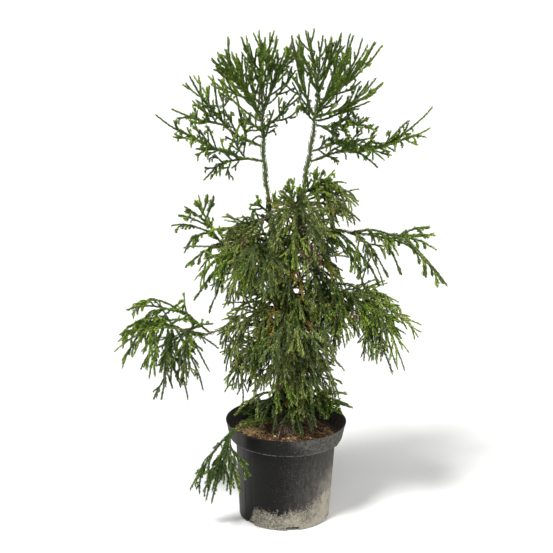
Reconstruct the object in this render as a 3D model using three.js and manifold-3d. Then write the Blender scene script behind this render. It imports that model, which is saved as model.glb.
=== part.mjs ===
// A young weeping cryptomeria with two leaders, 0.97 m tall, in a 24 cm nursery pot.
// Millimetres, +Z up. The origin is the middle of the pot's flat underside, on the ground.
// Azimuths are counted from +X (right) towards +Y (back): 0 right, 90 back, 180 left, 270 front.
import * as THREE from 'three';
import { mergeVertices } from 'three/addons/utils/BufferGeometryUtils.js';
import Module from 'manifold-3d';

const wasm = await Module();
wasm.setup();

const GAP = 0.35;       // clear space between two pieces that bear on each other
const WELD = 1e-4;      // vertices closer than this are one
const SLIVER = 0.02;    // edges shorter than this go when twigs are fused
const UP = new THREE.Vector3(0, 0, 1);
const DOWN = new THREE.Vector3(0, 0, -1);

// ---------------------------------------------------------------- driving dimensions

const POT = {
  height: 200, rimRadius: 120, wall: 2, facets: 30,
  collarDrop: 36, collarStep: 10.5,     // the collar under the lip, and how far it stands out
  footRadius: 88, footBand: 4, recess: 8, discRadius: 57,
  notches: 6, notchTurn: 281, notchWidth: 26, notchHeight: 8.5,
};
const SOIL = { height: 176, edgeHeight: 170, flatRadius: 18, slopeRadius: 60, slopeDrop: 1.5 };

const TRUNK = {
  foot: [-5, 0], height: 306, lean: [-2, 6], bow: [-4, 3],
  radius: 8.6, topRadius: 8, flare: 6, flareHeight: 10, sides: 10, steps: 8, ease: 2,
};
const LEADERS = [
  { name: 'leader_left', step: -5.1, height: 368, lean: [-44.6, 4], bow: [-11.4, 3] },
  { name: 'leader_right', step: 5.1, height: 368, lean: [50.6, -4], bow: [1.6, -3] },
];
const LEADER = { radius: 4.9, topRadius: 2.6, sides: 7, steps: 9 };
const BOUGH = { radius: 2.8, topRadius: 1.9, sides: 6, steps: 5 };
const STEM = { radius: 2.5, topRadius: 1.9, sides: 4, steps: 5, lastShoot: 0.82 };
const SHOOT = { root: 1.1, waist: 1.8, tooth: 3.2, fade: 0.2, sides: 3, steps: 4 };
const LEAST_SHOOT = 0.45;   // a shoot that is cut shorter than this share of its length is skipped

// How shoots leave a stem: how far they lean off it, how flat their whorl is, where their ends
// are pulled and how much they give, how much shorter they are at the stem's end, the first
// place that bears one, and how flat the shoot itself is.
const HABITS = {
  brush: { lean: 38, whorl: 1, pull: UP, bend: 0.5, fade: 0.5, first: 0.1, flat: 1 },
  lateral: { lean: 50, whorl: 0.6, pull: UP, bend: 0.3, fade: 0.5, first: 0.1, flat: 1.2 },
  weeping: { lean: 54, whorl: 0.8, pull: DOWN, bend: 0.88, fade: 0.2, first: 0.08, flat: 1.8 },
};
// Two shares that spread any number of shoots evenly along a stem and round it.
const STEP_ALONG = 0.7549;
const STEP_ROUND = 0.5698;

// One tapering limb each: name, carrier, seat, azimuth, reach, rise and arch. The seat is a
// height over the ground on the trunk and leaders, a share of the length on a bough, and 1 at
// a tip. The arch is how far the middle stands over the straight line.
const BOUGHS = [
  ['bough_left_middle_arm', 'leader_left', 745, 174, 76, 38, -3],
  ['bough_left_low_arm', 'leader_left', 716, 190, 76, 22, -2],
  ['bough_right_long_arm', 'leader_right', 722, 4, 84, 22, 2],
  ['bough_right_middle', 'leader_right', 584, 354, 120, 0, 4],
  ['bough_left_rising', 'trunk', 470, 172, 106, 74, 4],
  ['bough_right_low', 'trunk', 448, 346, 114, 14, 3],
  ['bough_left_low', 'trunk', 394, 186, 160, -20, 6],
  ['bough_rim', 'trunk', 196, 221, 120, 10, 10],
];

// One mass of foliage each: its stem as above, then its habit, how many shoots it bears and
// the longest of them.
const MASSES = [
  // the left leader's brush and its arms
  ['brush_left_tip', 'leader_left', 1, 130, 12, 72, 0, 'brush', 8, 104],
  ['brush_left_west', 'leader_left', 824, 178, 84, 96, -4, 'brush', 10, 90],
  ['brush_left_front', 'leader_left', 794, 214, 66, 132, -4, 'brush', 8, 84],
  ['brush_left_back', 'leader_left', 812, 58, 72, 106, -4, 'brush', 8, 92],
  ['brush_left_inner', 'leader_left', 782, 350, 60, 66, -8, 'brush', 5, 56],
  ['left_fork_outer', 'bough_left_middle_arm', 1, 174, 98, 28, -4, 'lateral', 6, 46],
  ['left_fork_upper', 'bough_left_middle_arm', 0.86, 186, 74, 98, -6, 'brush', 7, 66],
  ['left_arm_end', 'bough_left_low_arm', 1, 184, 126, 66, -6, 'lateral', 8, 48],
  // the right leader's brush and its arms
  ['brush_right_tip', 'leader_right', 1, 200, 6, 72, 0, 'brush', 8, 112],
  ['brush_right_east', 'leader_right', 828, 2, 92, 104, -14, 'brush', 9, 98],
  ['brush_right_outer', 'leader_right', 806, 352, 122, 66, -10, 'brush', 6, 52],
  ['brush_right_front', 'leader_right', 817, 312, 84, 116, -10, 'brush', 6, 74],
  ['brush_right_back', 'leader_right', 812, 34, 116, 124, -14, 'brush', 7, 74],
  ['brush_right_west', 'leader_right', 808, 172, 44, 126, -10, 'brush', 8, 78],
  ['right_arm_end', 'bough_right_long_arm', 1, 2, 142, 44, -10, 'lateral', 7, 40],
  ['right_arm_rise', 'bough_right_long_arm', 0.84, 8, 160, 84, -26, 'lateral', 7, 44],
  ['right_arm_low', 'leader_right', 742, 346, 112, 30, 2, 'lateral', 8, 52],
  ['right_whorl', 'leader_right', 792, 342, 104, 20, -12, 'lateral', 8, 50],
  // the weeping middle
  ['centre_sprig', 'leader_right', 622, 200, 22, 66, -8, 'lateral', 6, 50],
  ['right_shoulder', 'leader_right', 664, 346, 100, -24, 18, 'weeping', 9, 76],
  ['left_shoulder', 'leader_left', 604, 190, 78, -40, 10, 'weeping', 9, 92],
  ['front_shoulder', 'leader_right', 612, 264, 110, 0, 30, 'weeping', 10, 125],
  ['right_long_end', 'bough_right_middle', 1, 0, 138, 4, -8, 'lateral', 8, 42],
  ['right_long_drop', 'bough_right_middle', 0.9, 350, 180, -96, 38, 'weeping', 9, 70],
  ['right_long_inner', 'bough_right_middle', 0.8, 336, 74, -100, 26, 'weeping', 8, 72],
  ['left_rise_end', 'bough_left_rising', 1, 178, 58, 104, -20, 'lateral', 7, 54],
  ['left_rise_low', 'bough_left_rising', 0.8, 190, 106, 14, 10, 'weeping', 8, 62],
  ['left_weep_upper', 'leader_left', 556, 214, 136, -54, 36, 'weeping', 9, 140],
  ['left_weep_lower', 'trunk', 430, 214, 112, -38, 20, 'weeping', 9, 132],
  ['front_weep_upper', 'leader_left', 536, 246, 134, -34, 44, 'weeping', 9, 140],
  ['front_weep_lower', 'trunk', 414, 286, 126, -44, 40, 'weeping', 10, 145],
  ['back_weep_upper', 'leader_right', 560, 74, 142, -28, 44, 'weeping', 9, 140],
  ['back_weep_middle', 'leader_left', 520, 128, 150, -44, 40, 'weeping', 9, 140],
  ['back_weep_lower', 'trunk', 404, 96, 146, -44, 38, 'weeping', 9, 140],
  ['right_weep', 'leader_right', 528, 316, 118, -70, 32, 'weeping', 8, 120],
  // the low boughs, the skirt round the trunk and the twigs over the rim
  ['left_low_arc', 'bough_left_low', 0.84, 172, 168, 34, 24, 'weeping', 8, 84],
  ['left_low_end', 'bough_left_low', 1, 184, 160, -34, 32, 'weeping', 9, 112],
  ['left_low_drop', 'bough_left_low', 0.92, 214, 76, -62, 24, 'weeping', 9, 124],
  ['left_low_hang', 'bough_left_low', 0.4, 226, 60, -62, 20, 'weeping', 8, 96],
  ['right_low_end', 'bough_right_low', 1, 356, 110, -96, 36, 'weeping', 10, 122],
  ['right_low_drop', 'bough_right_low', 0.62, 302, 84, -60, 28, 'weeping', 9, 115],
  ['skirt_front_left', 'trunk', 322, 262, 88, -56, 26, 'weeping', 9, 104],
  ['skirt_front_right', 'trunk', 330, 318, 96, -50, 28, 'weeping', 9, 118],
  ['skirt_back_left', 'trunk', 330, 146, 108, -50, 28, 'weeping', 9, 110],
  ['skirt_back_right', 'trunk', 342, 40, 108, -50, 28, 'weeping', 9, 110],
  ['rim_right', 'trunk', 224, 350, 132, 12, 8, 'lateral', 8, 48],
  ['rim_hang', 'bough_rim', 1, 226, 56, -134, 6, 'weeping', 9, 84],
];

const FINISHES = {
  pot: { color: 0x202224, roughness: 0.55, metalness: 0 },
  soil: { color: 0x6b4f35, roughness: 1, metalness: 0 },
  bark: { color: 0x6e5641, roughness: 0.9, metalness: 0 },
  foliage: { color: 0x4d7330, roughness: 0.7, metalness: 0 },
};

const rowOf = ([name, on, at, azimuth, reach, rise, arch, habit, shoots, longest]) => (
  { name, on, at, azimuth, reach, rise, arch, habit: HABITS[habit], shoots, longest });

// ---------------------------------------------------------------- solids

/** A closed geometry as a manifold solid, its shared vertices merged. */
function toSolid(geometry) {
  const bare = geometry.clone();
  bare.deleteAttribute('normal');
  bare.deleteAttribute('uv');
  const merged = mergeVertices(bare, WELD);
  return new wasm.Manifold(new wasm.Mesh({
    numProp: 3,
    vertProperties: new Float32Array(merged.attributes.position.array),
    triVerts: new Uint32Array(merged.index.array),
  }));
}

/** A manifold solid as a geometry. */
function toGeometry(solid) {
  const mesh = solid.getMesh();
  const geometry = new THREE.BufferGeometry();
  geometry.setAttribute('position', new THREE.BufferAttribute(mesh.vertProperties, 3));
  geometry.setIndex(new THREE.BufferAttribute(mesh.triVerts, 1));
  geometry.computeVertexNormals();
  return geometry;
}

/** A [radius, height] outline, from axis to axis, turned about the +Z axis. */
function turned(outline) {
  const points = outline.map(([radius, height]) => new THREE.Vector2(radius, height));
  return new THREE.LatheGeometry(points, POT.facets).rotateX(Math.PI / 2);
}

/** The direction that a bent curve turns about: square to its own plane. */
function bendAxis(curve) {
  const first = curve.v1.clone().sub(curve.v0);
  const second = curve.v2.clone().sub(curve.v1);
  const axis = first.clone().cross(second);
  if (axis.length() < 1e-3 * first.length() * second.length()) {
    const upright = Math.abs(first.z) > 0.9 * first.length();
    axis.crossVectors(first, upright ? new THREE.Vector3(0, 1, 0) : UP);
  }
  return axis.normalize();
}

/**
 * A tapering limb: a cylinder bent onto a curve ring by ring, up to the share `end` of it. Its
 * foot lies flat on its seat, `ease` bunches its rings at the foot, and `flat` makes it a blade.
 */
function limbGeometry({ curve, sides, steps, radiusAt, seat, ease = 1, flat = 1, end = 1 }) {
  const pointed = radiusAt(1) === 0;
  const geometry = new THREE.CylinderGeometry(pointed ? 0 : 1, 1, 1, sides, steps);
  const start = curve.getTangent(0);
  const across = bendAxis(curve);
  const place = geometry.attributes.position;
  for (let i = 0; i < place.count; i += 1) {
    const share = (place.getY(i) + 0.5) ** ease;
    const spoke = new THREE.Vector2(place.getX(i), place.getZ(i)).normalize();
    const outward = new THREE.Vector3().crossVectors(across, curve.getTangent(share * end));
    const radius = radiusAt(share);
    const point = curve.getPoint(share * end)
      .addScaledVector(across, spoke.x * radius * flat)
      .addScaledVector(outward, (spoke.y * radius) / flat);
    if (seat && share === 0) {
      const off = point.clone().sub(curve.v0).dot(seat);
      point.addScaledVector(start, -off / start.dot(seat));
    }
    place.setXYZ(i, point.x, point.y, point.z);
  }
  return geometry;
}

// ---------------------------------------------------------------- the pot and its soil

/** The pot's outline: underside with its foot ring, wall, stepped collar, lip and inside. */
function potOutline() {
  const { height, rimRadius, wall, footRadius, footBand, recess, discRadius } = POT;
  const collar = height - POT.collarDrop;
  const wallTop = rimRadius - 2 * POT.collarStep;
  const lip = rimRadius - wall;
  return [
    [0, 0], [discRadius, 0], [discRadius + 5, recess], [footRadius - footBand - wall, recess],
    [footRadius - footBand, 0], [footRadius, 0], [footRadius + 2, 2],
    [wallTop, collar], [wallTop + POT.collarStep, collar + 0.5],
    [wallTop + POT.collarStep + 3, collar + 5], [rimRadius - 1.5, height - 3], [rimRadius, height],
    [lip, height], [lip - 8, collar + 9], [lip - 10, collar + 3.5], [wallTop - wall, collar + 2],
    [footRadius, recess + 4], [footRadius - footBand - wall, recess + wall + 0.5],
    [discRadius + 4, recess + wall + 0.5], [discRadius, wall + 1], [0, wall + 1],
  ];
}

/** The soil, a gap inside the pot, level under the trunk and lower at the edge. */
function soilOutline() {
  const { height, rimRadius, wall, footRadius, footBand, recess, discRadius } = POT;
  const collar = height - POT.collarDrop;
  const wallTop = rimRadius - 2 * POT.collarStep;
  const clear = 2 * GAP;
  const bottom = recess + wall + 0.5 + clear;
  return [
    [0, wall + 1 + clear], [discRadius - clear, wall + 1 + clear],
    [discRadius + 4 - clear, bottom], [footRadius - footBand - wall, bottom],
    [footRadius - clear, recess + 4 + clear], [wallTop - wall - clear, collar + 2 + clear],
    [rimRadius - wall - 10 - clear, collar + 3.5 + clear],
    [rimRadius - wall - 9 - clear, SOIL.edgeHeight],
    [SOIL.slopeRadius, SOIL.height - SOIL.slopeDrop], [SOIL.flatRadius, SOIL.height], [0, SOIL.height],
  ];
}

/** The pot, with its drainage notches cut through the foot ring. */
function potGeometry() {
  let pot = toSolid(turned(potOutline()));
  for (let i = 0; i < POT.notches; i += 1) {
    const turn = THREE.MathUtils.degToRad(POT.notchTurn + (i * 360) / POT.notches);
    const notch = new THREE.BoxGeometry(30, POT.notchWidth, 2 * POT.notchHeight)
      .translate(POT.footRadius, 0, 0).rotateZ(turn);
    pot = pot.subtract(toSolid(notch));
  }
  return toGeometry(pot);
}

// ---------------------------------------------------------------- limbs

const taper = (sizes, share) => sizes.radius + (sizes.topRadius - sizes.radius) * share;

/** An upright limb's curve, by its height, its lean and its bow to one side. */
function uprightCurve(foot, { height, lean, bow }) {
  const tip = foot.clone().add(new THREE.Vector3(lean[0], lean[1], height));
  const middle = foot.clone().lerp(tip, 0.5).add(new THREE.Vector3(2 * bow[0], 2 * bow[1], 0));
  return new THREE.QuadraticBezierCurve3(foot, middle, tip);
}

/** A limb's curve from its foot, by azimuth, reach outwards, rise and arch. */
function limbCurve(foot, { azimuth, reach, rise, arch }) {
  const turn = THREE.MathUtils.degToRad(azimuth);
  const span = new THREE.Vector3(Math.cos(turn) * reach, Math.sin(turn) * reach, rise);
  const middle = foot.clone().addScaledVector(span, 0.5).addScaledVector(UP, 2 * arch);
  return new THREE.QuadraticBezierCurve3(foot, middle, foot.clone().add(span));
}

/** The trunk: a taper with a root flare, cut flat on the soil. */
function trunkLimb() {
  const foot = new THREE.Vector3(TRUNK.foot[0], TRUNK.foot[1], SOIL.height + GAP);
  const flareAt = (share) => TRUNK.flare * Math.exp((-share * TRUNK.height) / TRUNK.flareHeight);
  return {
    ...TRUNK, name: 'trunk', curve: uprightCurve(foot, TRUNK), seat: UP,
    radiusAt: (share) => taper(TRUNK, share) + flareAt(share),
  };
}

/** A leader, which stands on the trunk's top beside the other one. */
function leaderLimb(leader, trunk) {
  const seat = trunk.curve.getTangent(1);
  const foot = trunk.curve.getPoint(1).addScaledVector(seat, GAP);
  foot.x += leader.step;
  return {
    ...LEADER, name: leader.name, curve: uprightCurve(foot, leader), seat,
    radiusAt: (share) => taper(LEADER, share),
  };
}

/** Where a bough or stem starts: at its carrier's tip, or at the side that it grows from. */
function seatOn(carrier, row) {
  if (row.at === 1) {
    const seat = carrier.curve.getTangent(1);
    return { seat, foot: carrier.curve.getPoint(1).addScaledVector(seat, GAP) };
  }
  const { v0, v2 } = carrier.curve;
  const share = row.at > 1 ? (row.at - v0.z) / (v2.z - v0.z) : row.at;
  const axis = carrier.curve.getTangent(share);
  const seat = limbCurve(new THREE.Vector3(), row).getTangent(0);
  seat.addScaledVector(axis, -seat.dot(axis)).normalize();
  const foot = carrier.curve.getPoint(share).addScaledVector(seat, carrier.radiusAt(share) + GAP);
  return { seat, foot };
}

/** A bough, which ends square where it enters its mass. */
function boughLimb(row, carrier) {
  const { seat, foot } = seatOn(carrier, row);
  return {
    ...BOUGH, name: row.name, curve: limbCurve(foot, row), seat,
    radiusAt: (share) => taper(BOUGH, share),
  };
}

/** A mass's stem, which ends in a point. */
function stemLimb(row, carrier) {
  const { seat, foot } = seatOn(carrier, row);
  return {
    ...STEM, name: row.name, curve: limbCurve(foot, row), seat,
    radiusAt: (share) => (share === 1 ? 0 : taper(STEM, share)),
  };
}

// ---------------------------------------------------------------- the growth rule

const fraction = (value) => value - Math.floor(value);

/** A number from 0 to 1 that depends only on the mass, the shoot and what it is for. */
const chance = (seed, index, purpose) => fraction(
  Math.sin(seed * 12.9898 + index * 78.233 + purpose * 37.719) * 43758.5453,
);

/** The point at a share of a stem, on the straight lengths between its rings. */
function pointOnStem(stem, share) {
  const ring = Math.min(Math.floor(share * stem.steps), stem.steps - 1);
  const from = stem.curve.getPoint(ring / stem.steps);
  return from.lerp(stem.curve.getPoint((ring + 1) / stem.steps), share * stem.steps - ring);
}

/** Shoot number `index` of a mass: it leans off the stem and gives to its habit's pull. */
function shootCurve({ stem, habit, longest, seed }, index) {
  const along = habit.first + (STEM.lastShoot - habit.first) * fraction(0.5 + STEP_ALONG * index);
  const turn = 2 * Math.PI * (STEP_ROUND * index + chance(seed, 0, 1));
  const lean = THREE.MathUtils.degToRad(habit.lean * (0.8 + 0.4 * chance(seed, index, 2)));
  const length = longest * (1 - habit.fade * along) * (0.75 + 0.4 * chance(seed, index, 3));
  const forward = stem.curve.getTangent(along);
  const side = bendAxis(stem.curve);
  const upper = new THREE.Vector3().crossVectors(side, forward);
  const out = side.multiplyScalar(Math.cos(turn));
  out.addScaledVector(upper, habit.whorl * Math.sin(turn)).normalize();
  const first = forward.multiplyScalar(Math.cos(lean)).addScaledVector(out, Math.sin(lean));
  const last = first.clone().lerp(habit.pull, habit.bend).normalize();
  const foot = pointOnStem(stem, along);
  const middle = foot.clone().addScaledVector(first, length / 2);
  const tip = middle.clone().addScaledVector(last, length / 2);
  return new THREE.QuadraticBezierCurve3(foot, middle, tip);
}

/** A shoot with its needles: a slim three-sided core whose rings swell into teeth. */
function shootGeometry({ curve, flat, end }) {
  const radiusAt = (share) => {
    const ring = Math.round(share * SHOOT.steps);
    if (ring === 0) return SHOOT.root / flat;
    if (ring === SHOOT.steps) return 0;
    return ring % 2 ? SHOOT.tooth * (1 - SHOOT.fade * share) : SHOOT.waist;
  };
  return limbGeometry({ curve, sides: SHOOT.sides, steps: SHOOT.steps, radiusAt, flat, end });
}

// ---------------------------------------------------------------- room between the pieces

/** Straight lengths that follow a curve, with the radius that they keep clear. */
function lengthsOf(owner, curve, radius, count) {
  return Array.from({ length: count }, (_, i) => ({
    owner, radius, share: (i + 1) / count,
    from: curve.getPoint(i / count), to: curve.getPoint((i + 1) / count),
  }));
}

/** The least distance between two straight lengths. */
function distance(a, b) {
  const u = a.to.clone().sub(a.from);
  const v = b.to.clone().sub(b.from);
  const w = a.from.clone().sub(b.from);
  const [uu, uv, vv] = [u.dot(u), u.dot(v), v.dot(v)];
  const [uw, vw] = [u.dot(w), v.dot(w)];
  const clamp = (value) => Math.min(1, Math.max(0, value));
  const skew = uu * vv - uv * uv;
  const first = skew > 1e-9 ? clamp((uv * vw - vv * uw) / skew) : 0;
  const t = clamp((uv * first + vw) / vv);
  const s = clamp((uv * t - uw) / uu);
  return w.addScaledVector(u, s).addScaledVector(v, -t).length();
}

/** Whether a point is in the pot, the soil or the ground, or within `margin` of them. */
function inPot(point, margin) {
  const radius = Math.hypot(point.x, point.y);
  const inMouth = radius < POT.rimRadius - POT.collarStep - margin && point.z > SOIL.height + margin;
  const nearPot = point.z < POT.height + margin && radius < POT.rimRadius + margin;
  return point.z < margin || (nearPot && !inMouth);
}

/** How far along a shoot its way is free, as a share of its length. */
function freeShare(owner, curve, taken) {
  const radius = SHOOT.tooth;
  let free = 0;
  for (const piece of lengthsOf(owner, curve, radius, 2 * SHOOT.steps)) {
    const blocked = inPot(piece.to, radius + GAP) || taken.some((other) => {
      const near = distance(piece, other) - radius - other.radius;
      return other.owner === owner ? near < 0 && piece.share > 0.3 : near < 2 * GAP;
    });
    if (blocked) return free;
    free = piece.share;
  }
  return free;
}

/**
 * Gives every mass its next shoot in turn. One that would meet another piece is cut short, or
 * skipped where too little of it would be left.
 */
function growShoots(masses, taken) {
  const rounds = Math.max(...masses.map((mass) => mass.shoots));
  for (let index = 0; index < rounds; index += 1) {
    for (const mass of masses.filter(({ shoots }) => index < shoots)) {
      const curve = shootCurve(mass, index);
      const end = freeShare(mass.name, curve, taken);
      if (end < LEAST_SHOOT) continue;
      mass.grown.push({ curve, end, flat: mass.habit.flat });
      const lengths = lengthsOf(mass.name, curve, SHOOT.tooth, 2 * SHOOT.steps);
      taken.push(...lengths.filter((piece) => piece.share <= end));
    }
  }
}

/** One mass as one solid: its shoots fused onto its stem. */
function massGeometry({ stem, grown }) {
  const parts = [limbGeometry(stem), ...grown.map(shootGeometry)];
  return toGeometry(wasm.Manifold.union(parts.map(toSolid)).simplify(SLIVER));
}

// ---------------------------------------------------------------- the plant in its pot

const limbs = new Map([['trunk', trunkLimb()]]);
for (const row of LEADERS) limbs.set(row.name, leaderLimb(row, limbs.get('trunk')));
for (const row of BOUGHS.map(rowOf)) limbs.set(row.name, boughLimb(row, limbs.get(row.on)));

const masses = MASSES.map(rowOf).map((row, i) => (
  { ...row, seed: i + 1, stem: stemLimb(row, limbs.get(row.on)), grown: [] }));

const taken = [...limbs.values()].flatMap((limb) => lengthsOf(limb.name, limb.curve, limb.radiusAt(0.1), 10));
for (const { name, stem } of masses) taken.push(...lengthsOf(name, stem.curve, STEM.radius, 8));
growShoots(masses, taken);

const plant = new THREE.Group();

function addPiece(name, geometry, finish) {
  const mesh = new THREE.Mesh(geometry, new THREE.MeshStandardMaterial(FINISHES[finish]));
  mesh.name = name;
  plant.add(mesh);
}

addPiece('pot', potGeometry(), 'pot');
addPiece('soil', turned(soilOutline()), 'soil');
for (const limb of limbs.values()) addPiece(limb.name, limbGeometry(limb), 'bark');
for (const mass of masses) addPiece(mass.name, massGeometry(mass), 'foliage');

export default plant;
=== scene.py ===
from dataclasses import dataclass
from functools import reduce
from typing import NamedTuple

import bpy
import numpy as np
from mathutils import Matrix


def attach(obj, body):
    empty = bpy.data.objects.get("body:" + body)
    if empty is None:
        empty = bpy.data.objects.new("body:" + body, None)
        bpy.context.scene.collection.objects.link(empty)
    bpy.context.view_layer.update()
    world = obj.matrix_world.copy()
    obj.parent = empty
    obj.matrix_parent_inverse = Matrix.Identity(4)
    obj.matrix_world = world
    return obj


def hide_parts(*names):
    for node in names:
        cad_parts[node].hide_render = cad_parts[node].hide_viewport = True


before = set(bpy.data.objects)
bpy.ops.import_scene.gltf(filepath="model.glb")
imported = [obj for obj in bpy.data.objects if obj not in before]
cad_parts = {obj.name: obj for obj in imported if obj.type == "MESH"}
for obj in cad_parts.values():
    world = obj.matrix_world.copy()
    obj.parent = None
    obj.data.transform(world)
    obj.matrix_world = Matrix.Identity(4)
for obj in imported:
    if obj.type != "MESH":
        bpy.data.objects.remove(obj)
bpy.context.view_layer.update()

MM = 0.001
TAU = 2 * np.pi
UP, DOWN, BACK = np.array([0, 0, 1.0]), np.array([0, 0, -1.0]), np.array([0, 1.0, 0])
RNG = np.random.default_rng(11)

# ---------------------------------------------------------------- driving sizes

POT = dict(
    height=200, rim=120, wall=2, collar_drop=36, collar_step=10.5, foot=88, foot_band=4,
    recess=8, disc=57, floor=3, notches=6, notch_turn=281, notch_width=26,
)
SOIL = dict(height=176, edge=170, flat=18, slope=60, slope_drop=1.5, reach=108, clear=0.7)
CHIPS = dict(count=2600, inner=10, outer=106, lift=0.5, tilt=0.35)
STRAWS = dict(count=620, inner=14, outer=104, lift=2.2, tilt=0.12, radius=0.42)
STRAW_HEAP = dict(count=130, middle=(-63, -12), spread=(9, 10))

GAP = 0.35      # from a carrier's tip to the foot of the limb that goes on from it
TRUNK = dict(
    foot=(-5, 0), height=306, lean=(-2, 6), bow=(-4, 3), radius=8.6, top=8, flare=6,
    flare_height=10,
)
LEADERS = {
    "leader_left": dict(step=-5.1, height=368, lean=(-44.6, 4), bow=(-11.4, 3)),
    "leader_right": dict(step=5.1, height=368, lean=(50.6, -4), bow=(1.6, -3)),
}
LEADER = dict(radius=4.9, top=2.6)
BOUGH = dict(radius=2.8, top=1.9)
STEM = dict(radius=1.9, top=1.5)

# The camera: its place in metres, its angles, and its focal length and width in pixels.
CAMERA = dict(place=(-0.024, -2.6, 1.2015), down=15.235, roll=1.03, focal=1394.4, width=553)


class Seen(NamedTuple):
    """A place as the camera sees it: the pixel's column and row, and the depth (+Y) in mm."""
    column: int
    row: int
    depth: int

    def place(self):
        """
        Where the ray through that pixel comes to that depth. The pixel's offset from the
        middle, turned back by the roll and over the focal length, is how far the ray leaves
        the camera's heading to the right and upwards.
        """
        roll, down = np.radians(CAMERA["roll"]), np.radians(CAMERA["down"])
        middle, eye = CAMERA["width"] / 2, np.array(CAMERA["place"]) / MM
        along, up = (self.column - middle) / CAMERA["focal"], (middle - self.row) / CAMERA["focal"]
        right = along * np.cos(roll) - up * np.sin(roll)
        upper = along * np.sin(roll) + up * np.cos(roll)
        ray = np.array([
            right, np.cos(down) + upper * np.sin(down), upper * np.cos(down) - np.sin(down)])
        return eye + ray * (self.depth - eye[1]) / ray[1]


# One tapering limb each: carrier, seat, way and arch, as in the part. A seat is a height, a
# share of the carrier's length, or 1 for its tip. A way is an azimuth, a reach and a rise.
BOUGHS = {
    "bough_left_middle_arm": ("leader_left", 745, (174, 76, 38), -3),
    "bough_left_low_arm": ("leader_left", 716, (190, 76, 22), -2),
    "bough_right_long_arm": ("leader_right", 722, (4, 84, 22), 2),
    "bough_right_middle": ("leader_right", 584, (354, 120, 0), 4),
    "bough_left_rising": ("trunk", 470, (172, 106, 74), 4),
    "bough_right_low": ("trunk", 448, (346, 114, 14), 3),
    "bough_left_low": ("trunk", 394, (186, 160, -20), 6),
    "bough_rim": ("trunk", 196, (221, 120, 10), 10),
}

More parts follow.
